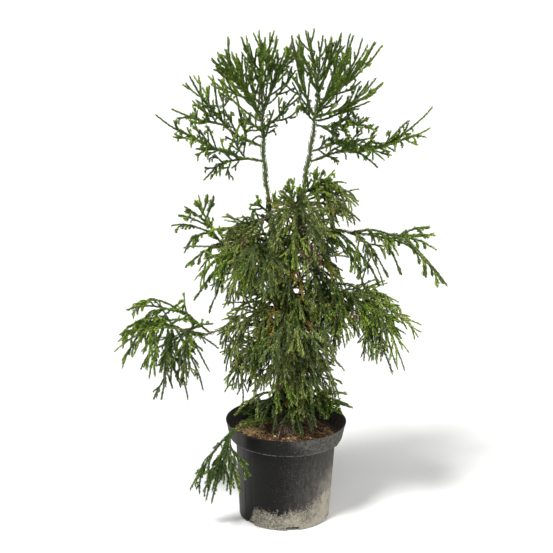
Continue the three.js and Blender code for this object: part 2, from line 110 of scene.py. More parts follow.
# One mass of foliage each, region by region: its stem as above, its habit, how many shoots
# the solid bears and the longest of them, then how much fuller it is here and how bright,
# which is partly painted light and shade: lighter on the crown and the front, darker at the
# back and on what hangs over the rim. The longest is shorter here on four masses, whose
# needles would else go past the solids.
MASSES = {
    "left_brush": {
        "brush_left_tip": ("leader_left", 1, (130, 12, 72), 0, "brush", 8, 104, 1.4, 0.1),
        "brush_left_west": ("leader_left", 824, (178, 84, 96), -4, "brush", 10, 90, 1.4, 0.1),
        "brush_left_front": ("leader_left", 794, (214, 66, 132), -4, "brush", 8, 84, 1.4, 0.1),
        "brush_left_back": ("leader_left", 812, (58, 72, 106), -4, "brush", 8, 92, 1.4, -0.1),
        "brush_left_inner": ("leader_left", 782, (350, 60, 66), -8, "brush", 5, 56, 1.2, 0),
        "left_fork_outer": (
            "bough_left_middle_arm", 1, (174, 98, 28), -4, "lateral", 6, 46, 1.2, -0.05),
        "left_fork_upper": (
            "bough_left_middle_arm", 0.86, (186, 74, 98), -6, "brush", 7, 66, 1.2, 0.1),
        "left_arm_end": ("bough_left_low_arm", 1, (184, 126, 66), -6, "lateral", 8, 48, 1.4, -0.05),
    },
    "right_brush": {
        "brush_right_tip": ("leader_right", 1, (200, 6, 72), 0, "brush", 8, 102, 0.6, 0.1),
        "brush_right_east": ("leader_right", 828, (2, 92, 104), -14, "brush", 9, 98, 0.6, 0),
        "brush_right_outer": ("leader_right", 806, (352, 122, 66), -10, "brush", 6, 52, 0.9, 0.1),
        "brush_right_front": ("leader_right", 817, (312, 84, 116), -10, "brush", 6, 74, 0.5, 0),
        "brush_right_back": ("leader_right", 812, (34, 116, 124), -14, "brush", 7, 74, 0.6, -0.1),
        "brush_right_west": ("leader_right", 808, (172, 44, 126), -10, "brush", 8, 78, 0.8, 0),
        "right_arm_end": (
            "bough_right_long_arm", 1, (2, 142, 44), -10, "lateral", 7, 40, 0.9, 0.05),
        "right_arm_rise": (
            "bough_right_long_arm", 0.84, (8, 160, 84), -26, "lateral", 7, 44, 0.8, -0.05),
        "right_arm_low": ("leader_right", 742, (346, 112, 30), 2, "lateral", 8, 52, 0.9, -0.15),
        "right_whorl": ("leader_right", 792, (342, 104, 20), -12, "lateral", 8, 50, 1.2, -0.15),
    },
    "crown": {
        "centre_sprig": ("leader_right", 622, (200, 22, 66), -8, "lateral", 6, 50, 1.9, 0.45),
        "right_shoulder": ("leader_right", 664, (346, 100, -24), 18, "weeping", 9, 76, 1.7, 0.45),
        "left_shoulder": ("leader_left", 604, (190, 78, -40), 10, "weeping", 9, 92, 1.7, 0.35),
        "front_shoulder": ("leader_right", 612, (264, 110, 0), 30, "weeping", 10, 125, 1.9, 0.35),
        "right_long_end": ("bough_right_middle", 1, (0, 138, 4), -8, "lateral", 8, 42, 0.4, 0.1),
        "right_long_drop": (
            "bough_right_middle", 0.9, (350, 180, -96), 38, "weeping", 9, 70, 0.5, 0),
        "right_long_inner": (
            "bough_right_middle", 0.8, (336, 74, -100), 26, "weeping", 8, 72, 0.7, 0),
        "left_rise_end": ("bough_left_rising", 1, (178, 58, 104), -20, "lateral", 7, 54, 0.5, 0.2),
        "left_rise_low": ("bough_left_rising", 0.8, (190, 106, 14), 10, "weeping", 8, 62, 0.4, 0.1),
    },
    "column_front": {
        "left_weep_upper": ("leader_left", 556, (214, 136, -54), 36, "weeping", 9, 140, 1.7, 0.3),
        "left_weep_lower": ("trunk", 430, (214, 112, -38), 20, "weeping", 9, 132, 1.5, 0.2),
        "front_weep_upper": ("leader_left", 536, (246, 134, -34), 44, "weeping", 9, 124, 1.9, 0.3),
        "front_weep_lower": ("trunk", 414, (286, 126, -44), 40, "weeping", 10, 145, 1.9, 0.25),
    },
    "column_back": {
        "back_weep_upper": ("leader_right", 560, (74, 142, -28), 44, "weeping", 9, 140, 1.9, -0.1),
        "back_weep_middle": ("leader_left", 520, (128, 150, -44), 40, "weeping", 9, 122, 1.9, -0.1),
        "back_weep_lower": ("trunk", 404, (96, 146, -44), 38, "weeping", 9, 100, 1.9, -0.1),
        "right_weep": ("leader_right", 528, (316, 118, -70), 32, "weeping", 8, 120, 1.7, 0),
    },
    "left_low": {
        "left_low_arc": ("bough_left_low", 0.84, (172, 168, 34), 24, "weeping", 8, 84, 0.5, -0.05),
        "left_low_end": ("bough_left_low", 1, (184, 160, -34), 32, "weeping", 9, 112, 0.5, -0.05),
        "left_low_drop": (
            "bough_left_low", 0.92, (214, 76, -62), 24, "weeping", 9, 124, 0.4, -0.25),
        "left_low_hang": ("bough_left_low", 0.4, (226, 60, -62), 20, "weeping", 8, 96, 0.4, -0.15),
    },
    "right_low": {
        "right_low_end": ("bough_right_low", 1, (356, 110, -96), 36, "weeping", 10, 122, 1.7, 0.3),
        "right_low_drop": (
            "bough_right_low", 0.62, (302, 84, -60), 28, "weeping", 9, 115, 1.8, 0.1),
    },
    "skirt": {
        "skirt_front_left": ("trunk", 322, (262, 88, -56), 26, "weeping", 9, 104, 0.8, 0.15),
        "skirt_front_right": ("trunk", 330, (318, 96, -50), 28, "weeping", 9, 118, 1.9, 0.1),
        "skirt_back_left": ("trunk", 330, (146, 108, -50), 28, "weeping", 9, 110, 1.6, -0.05),
        "skirt_back_right": ("trunk", 342, (40, 108, -50), 28, "weeping", 9, 110, 1.6, -0.05),
        "rim_right": ("trunk", 224, (350, 132, 12), 8, "lateral", 8, 48, 1.6, 0),
        "rim_hang": ("bough_rim", 1, (226, 56, -134), 6, "weeping", 9, 84, 0.6, -0.55),
    },
}

# Sprays in the same reach, too fine for the part, on the same limbs or on the stems of masses:
# stem, habit, how many shoots and the longest of them, and how bright, which is partly painted
# shade, darkest on the strands that hang under the low masses, near the soil and over the rim.
# Some are aimed from their seat at a place seen. They go with their region's pieces.
SPRAYS = {
    "left_brush": [
        ("leader_left", 820, (10, 54, 126), -6, "fan", 5, 54, 0.1),
        ("leader_left", 806, (181, 70, 122), -6, "fan", 6, 60, 0.1),
        ("leader_left", 792, (192, 102, 90), -6, "fan", 5, 50, 0.1),
        ("leader_left", 762, (301, 26, 38), -4, "lateral", 4, 30, -0.15),
        ("bough_left_low_arm", 0.45, (178, 78, -44), 12, "lateral", 11, 40, -0.15),
        ("bough_left_low_arm", 0.45, (150, 34, 52), -4, "lateral", 5, 34, -0.15),
        ("bough_left_low_arm", 0.9, (196, 62, 8), 4, "lateral", 6, 36, -0.15),
        ("bough_left_middle_arm", 0.4, (160, 18, 66), -4, "brush", 4, 34, 0),
        ("bough_left_middle_arm", 0.65, (206, 26, 50), -2, "lateral", 5, 32, -0.15),
        ("leader_left", 772, (206, 40, 44), -4, "lateral", 5, 34, -0.15),
        ("left_arm_end", 0.12, (189, 18, 40), 10, "arc", 2, 12, -0.15),
        ("left_arm_end", 0.25, (200, 16, 24), 8, "arc", 2, 12, -0.15),
        ("left_fork_outer", 0.25, (203, 34, 31), 10, "arc", 2, 12, -0.05),
        ("left_fork_upper", 0.2, Seen(212, 74, 0), -6, "fan", 1, 20, 0.1),
        ("left_fork_outer", 0.3, (231, 20, 80), -8, "fan", 1, 18, 0.1),
        ("leader_left", 762, (212, 28, -15), 8, "arc", 1, 12, -0.15),
        ("leader_left", 775, (205, 30, 2), 8, "arc", 1, 12, -0.15),
        ("bough_left_low_arm", 0.7, Seen(243, 140, -6), -2, "arc", 2, 14, -0.15),
        ("bough_left_low_arm", 0.9, Seen(240, 122, -8), -6, "fan", 2, 22, 0),
    ],
    "right_brush": [
        ("leader_right", 810, (349, 100, 30), -6, "fan", 3, 36, 0),
        ("leader_right", 800, (216, 36, 40), -4, "lateral", 5, 34, -0.15),
        ("leader_right", 800, (2, 98, 74), -20, "fan", 4, 44, 0),
        ("bough_right_long_arm", 0.4, (20, 50, 26), 2, "lateral", 4, 40, -0.15),
        ("leader_right", 822, (327, 58, 106), -8, "fan", 4, 44, 0.1),
        ("leader_right", 1, (356, 29, 90), -4, "fan", 3, 38, 0.1),
        ("brush_right_east", 0.3, (5, 78, 96), -6, "fan", 2, 30, 0.1),
        ("brush_right_east", 0.2, (333, 50, 120), -8, "fan", 3, 36, 0.1),
        ("brush_right_tip", 0.3, (358, 41, 90), -6, "fan", 3, 36, 0.1),
        ("brush_right_east", 0.5, (357, 70, 76), -6, "fan", 2, 26, 0.1),
        ("brush_right_outer", 0.5, (358, 62, 46), -4, "fan", 3, 28, 0),
        ("brush_right_tip", 0.1, (185, 21, 106), -6, "fan", 3, 34, 0.1),
        ("brush_right_tip", 0.05, (198, 38, 82), -6, "fan", 3, 34, 0),
        ("brush_right_west", 0.4, (176, 16, 108), -4, "fan", 3, 36, 0.1),
        ("brush_right_west", 0.5, (167, 25, 92), -4, "fan", 2, 30, 0.1),
        ("brush_right_front", 0.4, (313, 47, 94), -10, "fan", 3, 34, 0.1),
        ("brush_right_front", 0.6, (260, 22, 58), -4, "fan", 3, 30, 0),
        ("right_arm_low", 0.4, Seen(378, 168, -20), 10, "lateral", 6, 24, -0.15),
        ("right_arm_low", 0.6, (357, 70, -33), 8, "lateral", 4, 22, -0.15),
        ("right_arm_low", 0.3, Seen(360, 150, -20), 6, "lateral", 3, 22, -0.15),
        ("right_arm_rise", 0.5, Seen(400, 130, 0), -4, "lateral", 4, 16, -0.05),
        ("right_arm_end", 0.5, (348, 30, 40), -6, "lateral", 3, 14, -0.05),
        ("right_whorl", 0.7, Seen(376, 132, -20), 6, "lateral", 5, 22, -0.15),
        ("right_whorl", 0.4, Seen(352, 112, -20), -4, "lateral", 5, 20, -0.15),
        ("right_arm_end", 0.4, (346, 46, 48), 4, "arc", 2, 12, -0.05),
        ("right_arm_end", 0.2, Seen(378, 128, -14), 8, "arc", 2, 12, -0.15),
        ("right_arm_end", 0.05, (350, 72, -3), 12, "arc", 3, 16, -0.15),
        ("right_arm_end", 0.6, (345, 50, 10), 6, "arc", 2, 12, -0.05),
        ("brush_right_east", 0.15, (348, 28, 120), -6, "fan", 1, 26, 0.1),
        ("brush_right_east", 0.25, (3, 35, 118), -8, "fan", 2, 30, 0.1),
        ("brush_right_east", 0.45, (1, 40, 92), -8, "fan", 1, 26, 0.1),
        ("brush_right_east", 0.6, (3, 46, 70), -6, "fan", 2, 24, 0.1),
        ("brush_right_tip", 0.3, (341, 22, 84), -6, "fan", 2, 26, 0.1),
        ("brush_right_tip", 0.2, (179, 16, 88), -4, "fan", 1, 24, 0.1),
        ("brush_right_outer", 0.4, (5, 62, 56), -6, "fan", 2, 26, 0),
    ],
    "crown": [
        ("leader_right", 660, (336, 56, 30), 6, "lateral", 13, 46, 0.3),
        ("leader_right", 640, (350, 96, -34), 16, "weeping", 10, 78, 0.1),
        ("leader_right", 556, (336, 112, -84), 30, "weeping", 8, 44, 0.1),
        ("leader_left", 626, (320, 24, 18), 4, "lateral", 6, 34, 0.2),
        ("leader_left", 618, (196, 30, 16), 4, "lateral", 6, 34, 0.2),
        ("leader_right", 640, (336, 100, -12), 24, "weeping", 6, 60, 0.2),
        ("leader_right", 650, (349, 106, -8), 24, "weeping", 6, 56, 0.2),
        ("leader_right", 600, (281, 104, -40), 14, "catkins", 13, 44, 0),
        ("leader_right", 600, (287, 104, -58), 14, "catkins", 12, 40, 0),
        ("leader_right", 600, (279, 72, 4), 8, "catkins", 5, 18, 0),
        ("leader_left", 590, (257, 80, 42), 2, "catkins", 4, 14, 0),
        ("leader_left", 560, (232, 112, 18), 10, "catkins", 5, 16, 0),
        ("leader_left", 580, (272, 108, 18), 10, "catkins", 4, 14, 0),
        ("leader_left", 570, (248, 106, 21), 8, "catkins", 4, 12, 0),
        ("bough_left_rising", 0.5, (206, 60, -60), 16, "weeping", 4, 90, -0.15),
        ("left_rise_end", 0.8, (330, 6, 34), -2, "fan", 3, 18, 0.05),
        ("left_rise_end", 0.7, (333, 14, 46), -3, "fan", 3, 20, -0.05),
        ("left_rise_end", 0.75, (173, 20, 30), 2, "fan", 3, 18, 0.15),
        ("left_rise_end", 0.6, (179, 47, 36), 4, "arc", 4, 26, -0.05),
        ("left_rise_end", 0.55, (183, 62, 24), 6, "arc", 3, 26, -0.05),
        ("left_rise_end", 0.42, (181, 82, 18), 8, "arc", 4, 30, -0.05),
        ("left_rise_end", 0.3, Seen(184, 254, 10), 26, "arc", 4, 34, -0.15),
        ("left_rise_end", 0.12, Seen(205, 257, 10), 10, "arc", 4, 24, -0.15),
        ("bough_left_rising", 0.9, Seen(186, 268, 5), 20, "arc", 4, 34, -0.15),
        ("bough_left_rising", 0.75, Seen(195, 300, 5), 20, "arc", 4, 40, -0.25),
        ("bough_left_rising", 0.8, Seen(210, 312, 0), 16, "arc", 3, 44, -0.15),
        ("right_long_end", 0.5, Seen(430, 228, -11), 6, "arc", 3, 26, -0.05),
        ("right_long_end", 0.6, (0, 58, 2), 4, "arc", 3, 20, -0.05),
        ("right_long_end", 0.45, Seen(437, 251, -15), 8, "arc", 3, 26, -0.05),
        ("right_long_end", 0.3, Seen(416, 251, -20), 16, "arc", 3, 24, -0.05),
        ("right_long_end", 0.15, Seen(398, 257, -25), 18, "arc", 3, 26, -0.15),
        ("right_long_end", 0.25, Seen(444, 285, -15), 22, "arc", 5, 34, -0.05),
        ("right_long_drop", 0.7, (7, 14, -46), 4, "arc", 3, 20, -0.05),
        ("right_long_drop", 0.85, (350, 10, -34), 2, "arc", 2, 16, -0.05),
        ("right_long_end", 0.08, Seen(402, 276, -20), 22, "arc", 3, 28, -0.15),
        ("bough_right_middle", 0.8, Seen(389, 276, -20), 18, "arc", 3, 30, -0.15),
        ("bough_right_middle", 0.6, Seen(380, 284, -20), 16, "arc", 4, 36, -0.15),
        ("bough_right_middle", 0.5, Seen(367, 289, -25), 16, "arc", 4, 36, -0.15),
        ("bough_right_middle", 0.5, Seen(362, 266, -25), 14, "arc", 4, 34, -0.25),
        ("bough_right_middle", 0.3, Seen(338, 248, -25), 8, "arc", 3, 24, -0.15),
        ("bough_right_middle", 0.3, Seen(349, 256, -35), 10, "arc", 3, 30, -0.25),
    ],
    "column_front": [
        ("leader_right", 566, (284, 66, -30), 20, "weeping", 14, 126, 0.3),
        ("leader_left", 540, (250, 60, -34), 18, "weeping", 11, 120, 0.3),
        ("trunk", 472, (256, 60, -20), 20, "weeping", 11, 120, 0.2),
        ("trunk", 456, (300, 62, -30), 20, "weeping", 11, 120, 0.2),
        ("trunk", 378, (246, 62, -34), 18, "weeping", 11, 116, 0.1),
        ("trunk", 352, (292, 58, -34), 18, "weeping", 11, 110, 0.1),
        ("leader_right", 540, (272, 104, -35), 10, "dry", 4, 20, 0.1),
        ("leader_right", 530, (282, 106, -55), 12, "dry", 4, 20, 0.1),
        ("trunk", 440, (255, 110, -10), 12, "dry", 3, 24, 0.1),
        ("trunk", 420, (257, 108, -29), 12, "dry", 4, 26, 0.1),
        ("trunk", 430, (267, 100, -32), 12, "dry", 3, 20, 0.1),
        ("trunk", 430, (300, 108, -21), 14, "dry", 3, 18, 0),
        ("trunk", 452, Seen(333, 320, -75), 6, "dry", 1, 14, 0),
        ("trunk", 420, (293, 112, -20), 14, "catkins", 6, 24, 0),
    ],
    "column_back": [
        ("leader_left", 540, (96, 60, -30), 18, "weeping", 8, 110, 0),
        ("trunk", 446, (74, 60, -30), 18, "weeping", 9, 110, 0),
        ("trunk", 380, (110, 56, -30), 16, "weeping", 9, 104, 0),
        ("trunk", 340, (70, 54, -34), 16, "weeping", 9, 96, -0.1),
        ("trunk", 352, (92, 62, -70), 16, "hanging", 8, 50, -0.2),
        ("trunk", 300, (84, 60, -62), 16, "hanging", 8, 48, -0.2),
        ("trunk", 262, (98, 58, -44), 14, "hanging", 7, 40, -0.3),
    ],
    "left_low": [
        ("left_low_arc", 0.35, (180, 103, 2), 22, "arc", 7, 50, -0.15),
        ("left_low_arc", 0.2, (180, 122, -34), 34, "arc", 8, 56, -0.15),
        ("left_low_arc", 0.12, (182, 124, -24), 20, "arc", 6, 60, -0.05),
        ("left_low_end", 0.4, Seen(118, 343, -12), 14, "arc", 5, 50, -0.15),
        ("left_low_end", 0.6, Seen(121, 370, -12), 16, "arc", 4, 40, -0.15),
        ("left_low_arc", 0.45, Seen(184, 302, -5), 2, "lateral", 2, 16, -0.15),
        ("left_low_end", 0.1, Seen(213, 324, -10), 6, "lateral", 4, 18, -0.15),
        ("left_low_end", 0.35, (181, 12, -150), -4, "hanging", 5, 60, -0.65),
        ("left_low_end", 0.4, Seen(148, 379, -15), 8, "hanging", 5, 50, -0.35),
        ("left_low_end", 0.3, Seen(188, 399, -20), 8, "hanging", 6, 60, -0.75),
        ("left_low_end", 0.3, Seen(171, 382, -25), 2, "hanging", 6, 60, -0.85),
        ("left_low_end", 0.25, Seen(204, 390, -20), 14, "hanging", 5, 50, -0.65),
        ("left_low_end", 0.2, Seen(210, 371, -15), 12, "hanging", 3, 34, -0.35),
        ("left_low_end", 0.15, Seen(219, 350, -15), 8, "hanging", 3, 24, -0.35),
        ("left_low_end", 0.5, (200, 20, -80), 6, "hanging", 4, 50, -0.35),
        ("left_low_end", 0.3, (181, 100, -20), 24, "arc", 6, 50, -0.15),
        ("left_low_end", 0.2, (174, 84, -30), 18, "arc", 5, 50, -0.05),
        ("left_low_end", 0.5, (190, 44, -60), 16, "weeping", 5, 40, -0.15),
        ("bough_left_low", 0.6, (240, 20, -50), 6, "weeping", 5, 30, -0.35),
        ("left_low_end", 0.35, (355, 60, 8), 14, "lateral", 6, 16, -0.05),
        ("left_low_end", 0.3, (175, 76, -14), 10, "lateral", 8, 22, -0.15),
        ("left_low_end", 0.35, (284, 40, -92), 12, "hanging", 5, 40, -0.75),
        ("left_low_end", 0.3, (258, 40, -70), 12, "hanging", 4, 36, -0.55),
        ("left_low_end", 0.15, (287, 44, -64), 12, "hanging", 4, 36, -0.65),
    ],
    "right_low": [
        ("bough_right_low", 0.25, (300, 44, -50), 14, "weeping", 12, 118, 0),
        ("bough_right_low", 0.5, (40, 60, -50), 18, "weeping", 12, 110, 0),
        ("bough_right_low", 1, (350, 106, -140), 40, "weeping", 11, 96, 0.1),
        ("bough_right_low", 1, (10, 126, -70), 34, "weeping", 10, 70, 0.1),
        ("bough_right_low", 1, (15, 126, -160), 50, "weeping", 6, 80, 0),
        ("bough_right_low", 0.8, (332, 26, -100), 10, "weeping", 5, 60, 0),
        ("bough_right_low", 1, (286, 56, -40), 10, "catkins", 5, 22, 0),
        ("bough_right_low", 0.6, (292, 42, -26), 10, "catkins", 4, 16, 0),
        ("bough_right_low", 0.8, (289, 44, -38), 10, "catkins", 4, 18, 0),
        ("bough_right_low", 1, (350, 96, -150), 30, "catkins", 5, 24, 0),
    ],
    "skirt": [
        ("trunk", 350, (200, 112, -84), 22, "weeping", 10, 84, 0.05),
        ("trunk", 256, (200, 92, -40), 16, "weeping", 5, 56, 0.05),
        ("trunk", 262, (328, 98, -42), 16, "weeping", 9, 58, 0.15),
        ("trunk", 240, (30, 84, -24), 12, "weeping", 9, 52, 0.05),
        ("trunk", 284, (330, 86, -60), 16, "hanging", 7, 36, 0.25),
        ("trunk", 292, (318, 70, -50), 16, "hanging", 7, 44, 0.25),
        ("trunk", 224, (13, 122, 22), 8, "lateral", 6, 34, 0.15),
        ("trunk", 222, (8, 124, 4), 10, "lateral", 5, 34, 0.15),
        ("trunk", 218, (2, 112, -8), 12, "lateral", 6, 34, 0.05),
        ("trunk", 216, (151, 78, 2), 8, "weeping", 7, 36, -0.75),
        ("trunk", 214, (175, 84, -8), 10, "lateral", 8, 36, -0.75),
        ("trunk", 210, (203, 80, -8), 10, "lateral", 8, 34, -0.65),
        ("rim_hang", 0.3, (302, 54, -70), 6, "hanging", 6, 48, -0.4),
        ("rim_hang", 0.22, (314, 62, -44), 4, "hanging", 5, 36, -0.3),
        ("bough_rim", 1, (192, 84, -120), 10, "arc", 7, 60, -0.5),
        ("bough_rim", 1, (192, 52, -144), 18, "arc", 7, 60, -0.4),
        ("bough_rim", 1, (198, 40, -124), 16, "hanging", 5, 50, -0.6),
        ("rim_hang", 0.2, (227, 16, -80), 6, "hanging", 5, 50, -0.6),
        ("trunk", 250, (228, 58, -20), 10, "weeping", 4, 34, -0.45),
        ("trunk", 240, (204, 56, -10), 8, "weeping", 4, 32, -0.55),
        ("trunk", 262, (235, 66, -64), 12, "weeping", 6, 34, -0.55),
        ("trunk", 266, (288, 74, -70), 12, "hanging", 6, 30, -0.25),
        ("trunk", 262, (296, 82, -72), 14, "weeping", 8, 32, -0.45),
        ("trunk", 270, (310, 86, -74), 16, "weeping", 8, 34, -0.25),
        ("trunk", 276, (300, 66, -58), 14, "weeping", 7, 40, 0.05),
        ("trunk", 280, (312, 78, -60), 16, "weeping", 8, 44, 0.15),
        ("trunk", 250, (349, 123, 12), 8, "lateral", 4, 26, 0.15),
        ("trunk", 240, (349, 126, 0), 10, "lateral", 4, 26, 0.05),
        ("trunk", 234, (286, 42, -32), 8, "weeping", 6, 32, -0.45),
        ("trunk", 226, (304, 48, -24), 8, "weeping", 6, 32, -0.45),
        ("trunk", 240, (255, 62, -52), 14, "hanging", 5, 24, -0.55),
        ("trunk", 240, (303, 70, -50), 14, "weeping", 6, 28, -0.55),
    ],
}

# How much thicker the ends of arching and fanned twigs are, on the boughs that have clubs.
CLUBS = {
    "bough_right_middle": 1.8, "right_long_end": 1.8, "right_long_drop": 1.8,
    "bough_left_rising": 1.5, "left_rise_end": 1.3,
}
CLUB_STARTS, CLUB_FULL = 18, 11     # before the twig's tip
LAST_SHOOT = 0.82                           # the last place on a stem that bears a branch
STEP_ALONG, STEP_ROUND = 0.7549, 0.5698     # shares, from one branch to the next
GOLDEN = TAU * 0.381966                     # from one needle to the next, round a twig
USUAL_REACH, INSIDE = 160, 75               # how far most twigs reach, and where the heart ends


class Growth(NamedTuple):
    """
    How branches leave a stem: how far they lean off it, how round their whorl is, where their
    ends are pulled and how much they give, how much shorter they are at its end, and the first
    place that bears one. Twigs also have one for each `every` millimetres, up to `share` of its
    length.
    """
    lean: float
    whorl: float
    pull: np.ndarray
    bend: float
    fade: float
    first: float
    every: float = 0
    share: float = 0


# Shoots, then twigs, then twiglets. The shoots of the first three are the part's own; the
# other habits are for sprays alone.
HABITS = {
    "brush": [Growth(38, 1, UP, 0.5, 0.5, 0.1), Growth(30, 1, UP, 0.35, 0.4, 0.3, 40, 0.6)],
    "lateral": [Growth(50, 0.6, UP, 0.3, 0.5, 0.1), Growth(34, 0.8, UP, 0.4, 0.4, 0.2, 25, 0.6)],
    "weeping": [
        Growth(54, 0.8, DOWN, 0.88, 0.2, 0.08), Growth(28, 1, DOWN, 0.3, 0.5, 0.16, 32, 0.56),
        Growth(30, 1, UP, 0.1, 0.3, 0.2, 74, 0.5),
    ],
    "fan": [Growth(27, 1, UP, 0.3, 0.5, 0.4), Growth(26, 1, UP, 0.3, 0.4, 0.2, 46, 0.6)],
    "arc": [Growth(26, 1, DOWN, 0.9, 0.3, 0.45), Growth(34, 1, DOWN, 0.5, 0.5, 0.3, 40, 0.4)],
    "hanging": [
        Growth(28, 1, DOWN, 0.4, 0.3, 0.15), Growth(26, 1, DOWN, 0.3, 0.5, 0.25, 34, 0.45),
    ],
    "catkins": [Growth(44, 1, DOWN, 0.8, 0.2, 0.7)],
    "dry": [Growth(34, 1, DOWN, 0.6, 0.4, 0.6)],
}
# The short curled twigs that every cord of a habit bears too, and the longest of them.
CURLS = {
    "fan": (Growth(68, 1, DOWN, 1.25, 0.3, 0.06, 90), 14),
    "brush": (Growth(66, 1, DOWN, 1.25, 0.3, 0.06, 60), 17),
    "lateral": (Growth(52, 1, DOWN, 1.25, 0.2, 0.5, 32), 21),
    "weeping": (Growth(60, 1, DOWN, 1.1, 0.2, 0.1, 110), 14),
    "arc": (Growth(60, 1, DOWN, 1, 0.3, 0.1, 70), 11),
    "hanging": (Growth(56, 1, DOWN, 1, 0.3, 0.1, 60), 12),
}
# Radii of the cords where they start and end, level by level from the stem to the finest.
CORES = {
    "brush": [(2.1, 1.6), (1.4, 1.3), (1.3, 1.2), (1.2, 1.1)],
    "fan": [(1.8, 1.4), (1.4, 1.3), (1.3, 1.2), (1.2, 1.1)],
    "lateral": [(2.0, 1.5), (1.4, 1.3), (1.3, 1.2), (1.2, 1.1)],
    "weeping": [(2.0, 1.5), (1.5, 1.3), (1.3, 1.1), (1.1, 1.0), (1.0, 1.0)],
    "arc": [(1.9, 1.5), (1.4, 1.2), (1.2, 1.1), (1.0, 0.9)],
    "hanging": [(1.9, 1.5), (1.4, 1.2), (1.2, 1.1), (1.0, 0.9)],
    "catkins": [(1.6, 1.4), (1.2, 1.0)],
    "dry": [(2.0, 1.6), (1.4, 1.0)],
}


class Needle(NamedTuple):
    """Its length, how far its waist and point stand off the bark, its width and its spacing."""
    length: float
    waist: float
    point: float
    width: float
    apart: float


NEEDLES = {
    "brush": Needle(6.0, 0.6, 1.1, 2.0, 0.9),
    "fan": Needle(6.0, 0.6, 1.1, 2.0, 0.9),
    "lateral": Needle(6.0, 0.6, 1.2, 1.9, 0.95),
    "weeping": Needle(6.0, 0.6, 1.2, 1.8, 1.05),
    "arc": Needle(6.4, 0.7, 1.9, 1.8, 1.0),
    "hanging": Needle(6.2, 0.7, 1.6, 1.9, 1.0),
    "catkins": Needle(6.5, 1.5, 1.7, 2.8, 1.1),
    "dry": Needle(6.0, 0.5, 0.9, 1.8, 1.3),
}
LIMB_NEEDLE = Needle(9.0, 1.3, 2.4, 2.6, 1.1)
# How far a limb's needles stand off its bark; they sink in by SUNK on the limbs not named.
STAND = {
    "leader_left": 0.8, "leader_right": 0.8, "bough_rim": 1.6, "bough_left_low": 1.0,
    "bough_right_middle": 0.4,
}
SUNK = -0.5

LEAF_TINTS = {
    "needle_fresh": "a0b942", "needle_bright": "7f9a31", "needle_mid": "607a25",
    "needle_deep": "475f1c", "needle_shade": "314516",
    "olive_fresh": "a6b05a", "olive_bright": "879348", "olive_mid": "69783d",
    "olive_deep": "526036", "olive_shade": "3f4a2d",
    "needle_sage": "586742", "needle_khaki": "807a34", "needle_golden": "ab8433",
    "needle_rust": "7d4c28",
    # the palest catkin tint is a painted highlight on the pollen cones
    "catkin_dark": "4a362a", "catkin_brown": "836950", "catkin_painted_highlight": "cabda6",
}
FRESH, BRIGHT, MID, DEEP, SHADE, OLIVE = range(6)
SAGE, KHAKI, AMBER, RUST, CATKIN = range(10, 15)
CHIP_TINTS = {
    "chip_dark": "38261a", "chip_brown": "5f432d", "chip_rust": "7b5436",
    "chip_tan": "a3835c", "chip_pale": "bba680",
}
STRAW_TINTS = {"straw_pale": "b79d6c", "straw_tan": "8f6f44", "straw_rust": "6f4429"}

# Suns: name, azimuth, height over the horizon, angular width and power.
LIGHTS = [
    ("key_light", 232, 56, 14, 3.4),
    ("front_light", 284, 46, 36, 0.85),
    ("fill_light", 330, 30, 40, 0.3),
]
SKY = 0.42
FLOOR = dict(radius=90, sides=96)       # in metres

# ---------------------------------------------------------------- curves


def unit(vectors):
    """Each vector over its own length."""
    return vectors / np.maximum(np.linalg.norm(vectors, axis=-1, keepdims=True), 1e-12)


def smooth_step(low, high, value):
    """0 up to `low`, 1 from `high`, and 3t^2 - 2t^3 between them."""
    t = np.clip((value - low) / (high - low), 0, 1)
    return t * t * (3 - 2 * t)


def ragged(count):
    """For owners with `count` items each: every item's owner and its place in the row."""
    owner = np.repeat(np.arange(len(count)), count)
    return owner, np.arange(len(owner)) - np.repeat(np.cumsum(count) - count, count)


def chance(seed, index, purpose):
    """The fraction of a large sine: a number from 0 to 1 that depends only on its inputs."""
    value = np.sin(seed * 12.9898 + index * 78.233 + purpose * 37.719) * 43758.5453
    return value - np.floor(value)


def point_on(curve, share):
    """(1-t)^2 A + 2t(1-t) B + t^2 C, the point at a share t of each bent line."""
    t = np.asarray(share)[..., None]
    a, b, c = curve[..., 0, :], curve[..., 1, :], curve[..., 2, :]
    return (1 - t) ** 2 * a + 2 * t * (1 - t) * b + t**2 * c


def heading(curve, share):
    """The unit direction there: (1-t)(B-A) + t(C-B), over its length."""
    t = np.asarray(share)[..., None]
    a, b, c = curve[..., 0, :], curve[..., 1, :], curve[..., 2, :]
    return unit((1 - t) * (b - a) + t * (c - b))


def bend_axis(curve):
    """Square to each curve's own plane: (B-A) x (C-B), or level where it's straight."""
    first = curve[..., 1, :] - curve[..., 0, :]
    second = curve[..., 2, :] - curve[..., 1, :]
    axis = np.cross(first, second)
    size = np.linalg.norm(first, axis=-1)
    straight = np.linalg.norm(axis, axis=-1) < 1e-3 * size * np.linalg.norm(second, axis=-1)
    upright = np.abs(first[..., 2]) > 0.9 * size
    level = np.where(upright[..., None], np.cross(first, BACK), np.cross(first, UP))
    return unit(np.where(straight[..., None], level, axis))


def round_about(curve, share, turn):
    """The heading there, and the direction off it at an angle: cos a side + sin a (way x side)."""
    way, side = heading(curve, share), bend_axis(curve)
    return way, side * np.cos(turn)[:, None] + np.cross(way, side) * np.sin(turn)[:, None]


def swayed(points):
    """Moves points by three crossed waves of their own place, so what touches stays joined."""
    x, y, z = points[..., 0], points[..., 1], points[..., 2]
    free = smooth_step(176, 260, z) + smooth_step(100, 150, np.hypot(x, y))
    free = np.clip(free, 0, 1)[..., None]
    wave = np.stack([
        0.8 * np.sin(z / 9 + x / 23 + 1.0) + 0.7 * np.sin(z / 23 - y / 11),
        0.9 * np.sin(z / 10 - x / 19 + 2.1) + 0.9 * np.sin(x / 13 + z / 37),
        1.0 * np.sin(x / 11 + y / 17 + 0.6) + 0.8 * np.sin(y / 9 - x / 29),
    ], axis=-1)
    return points + free * wave


# ---------------------------------------------------------------- limbs, by the part's rule


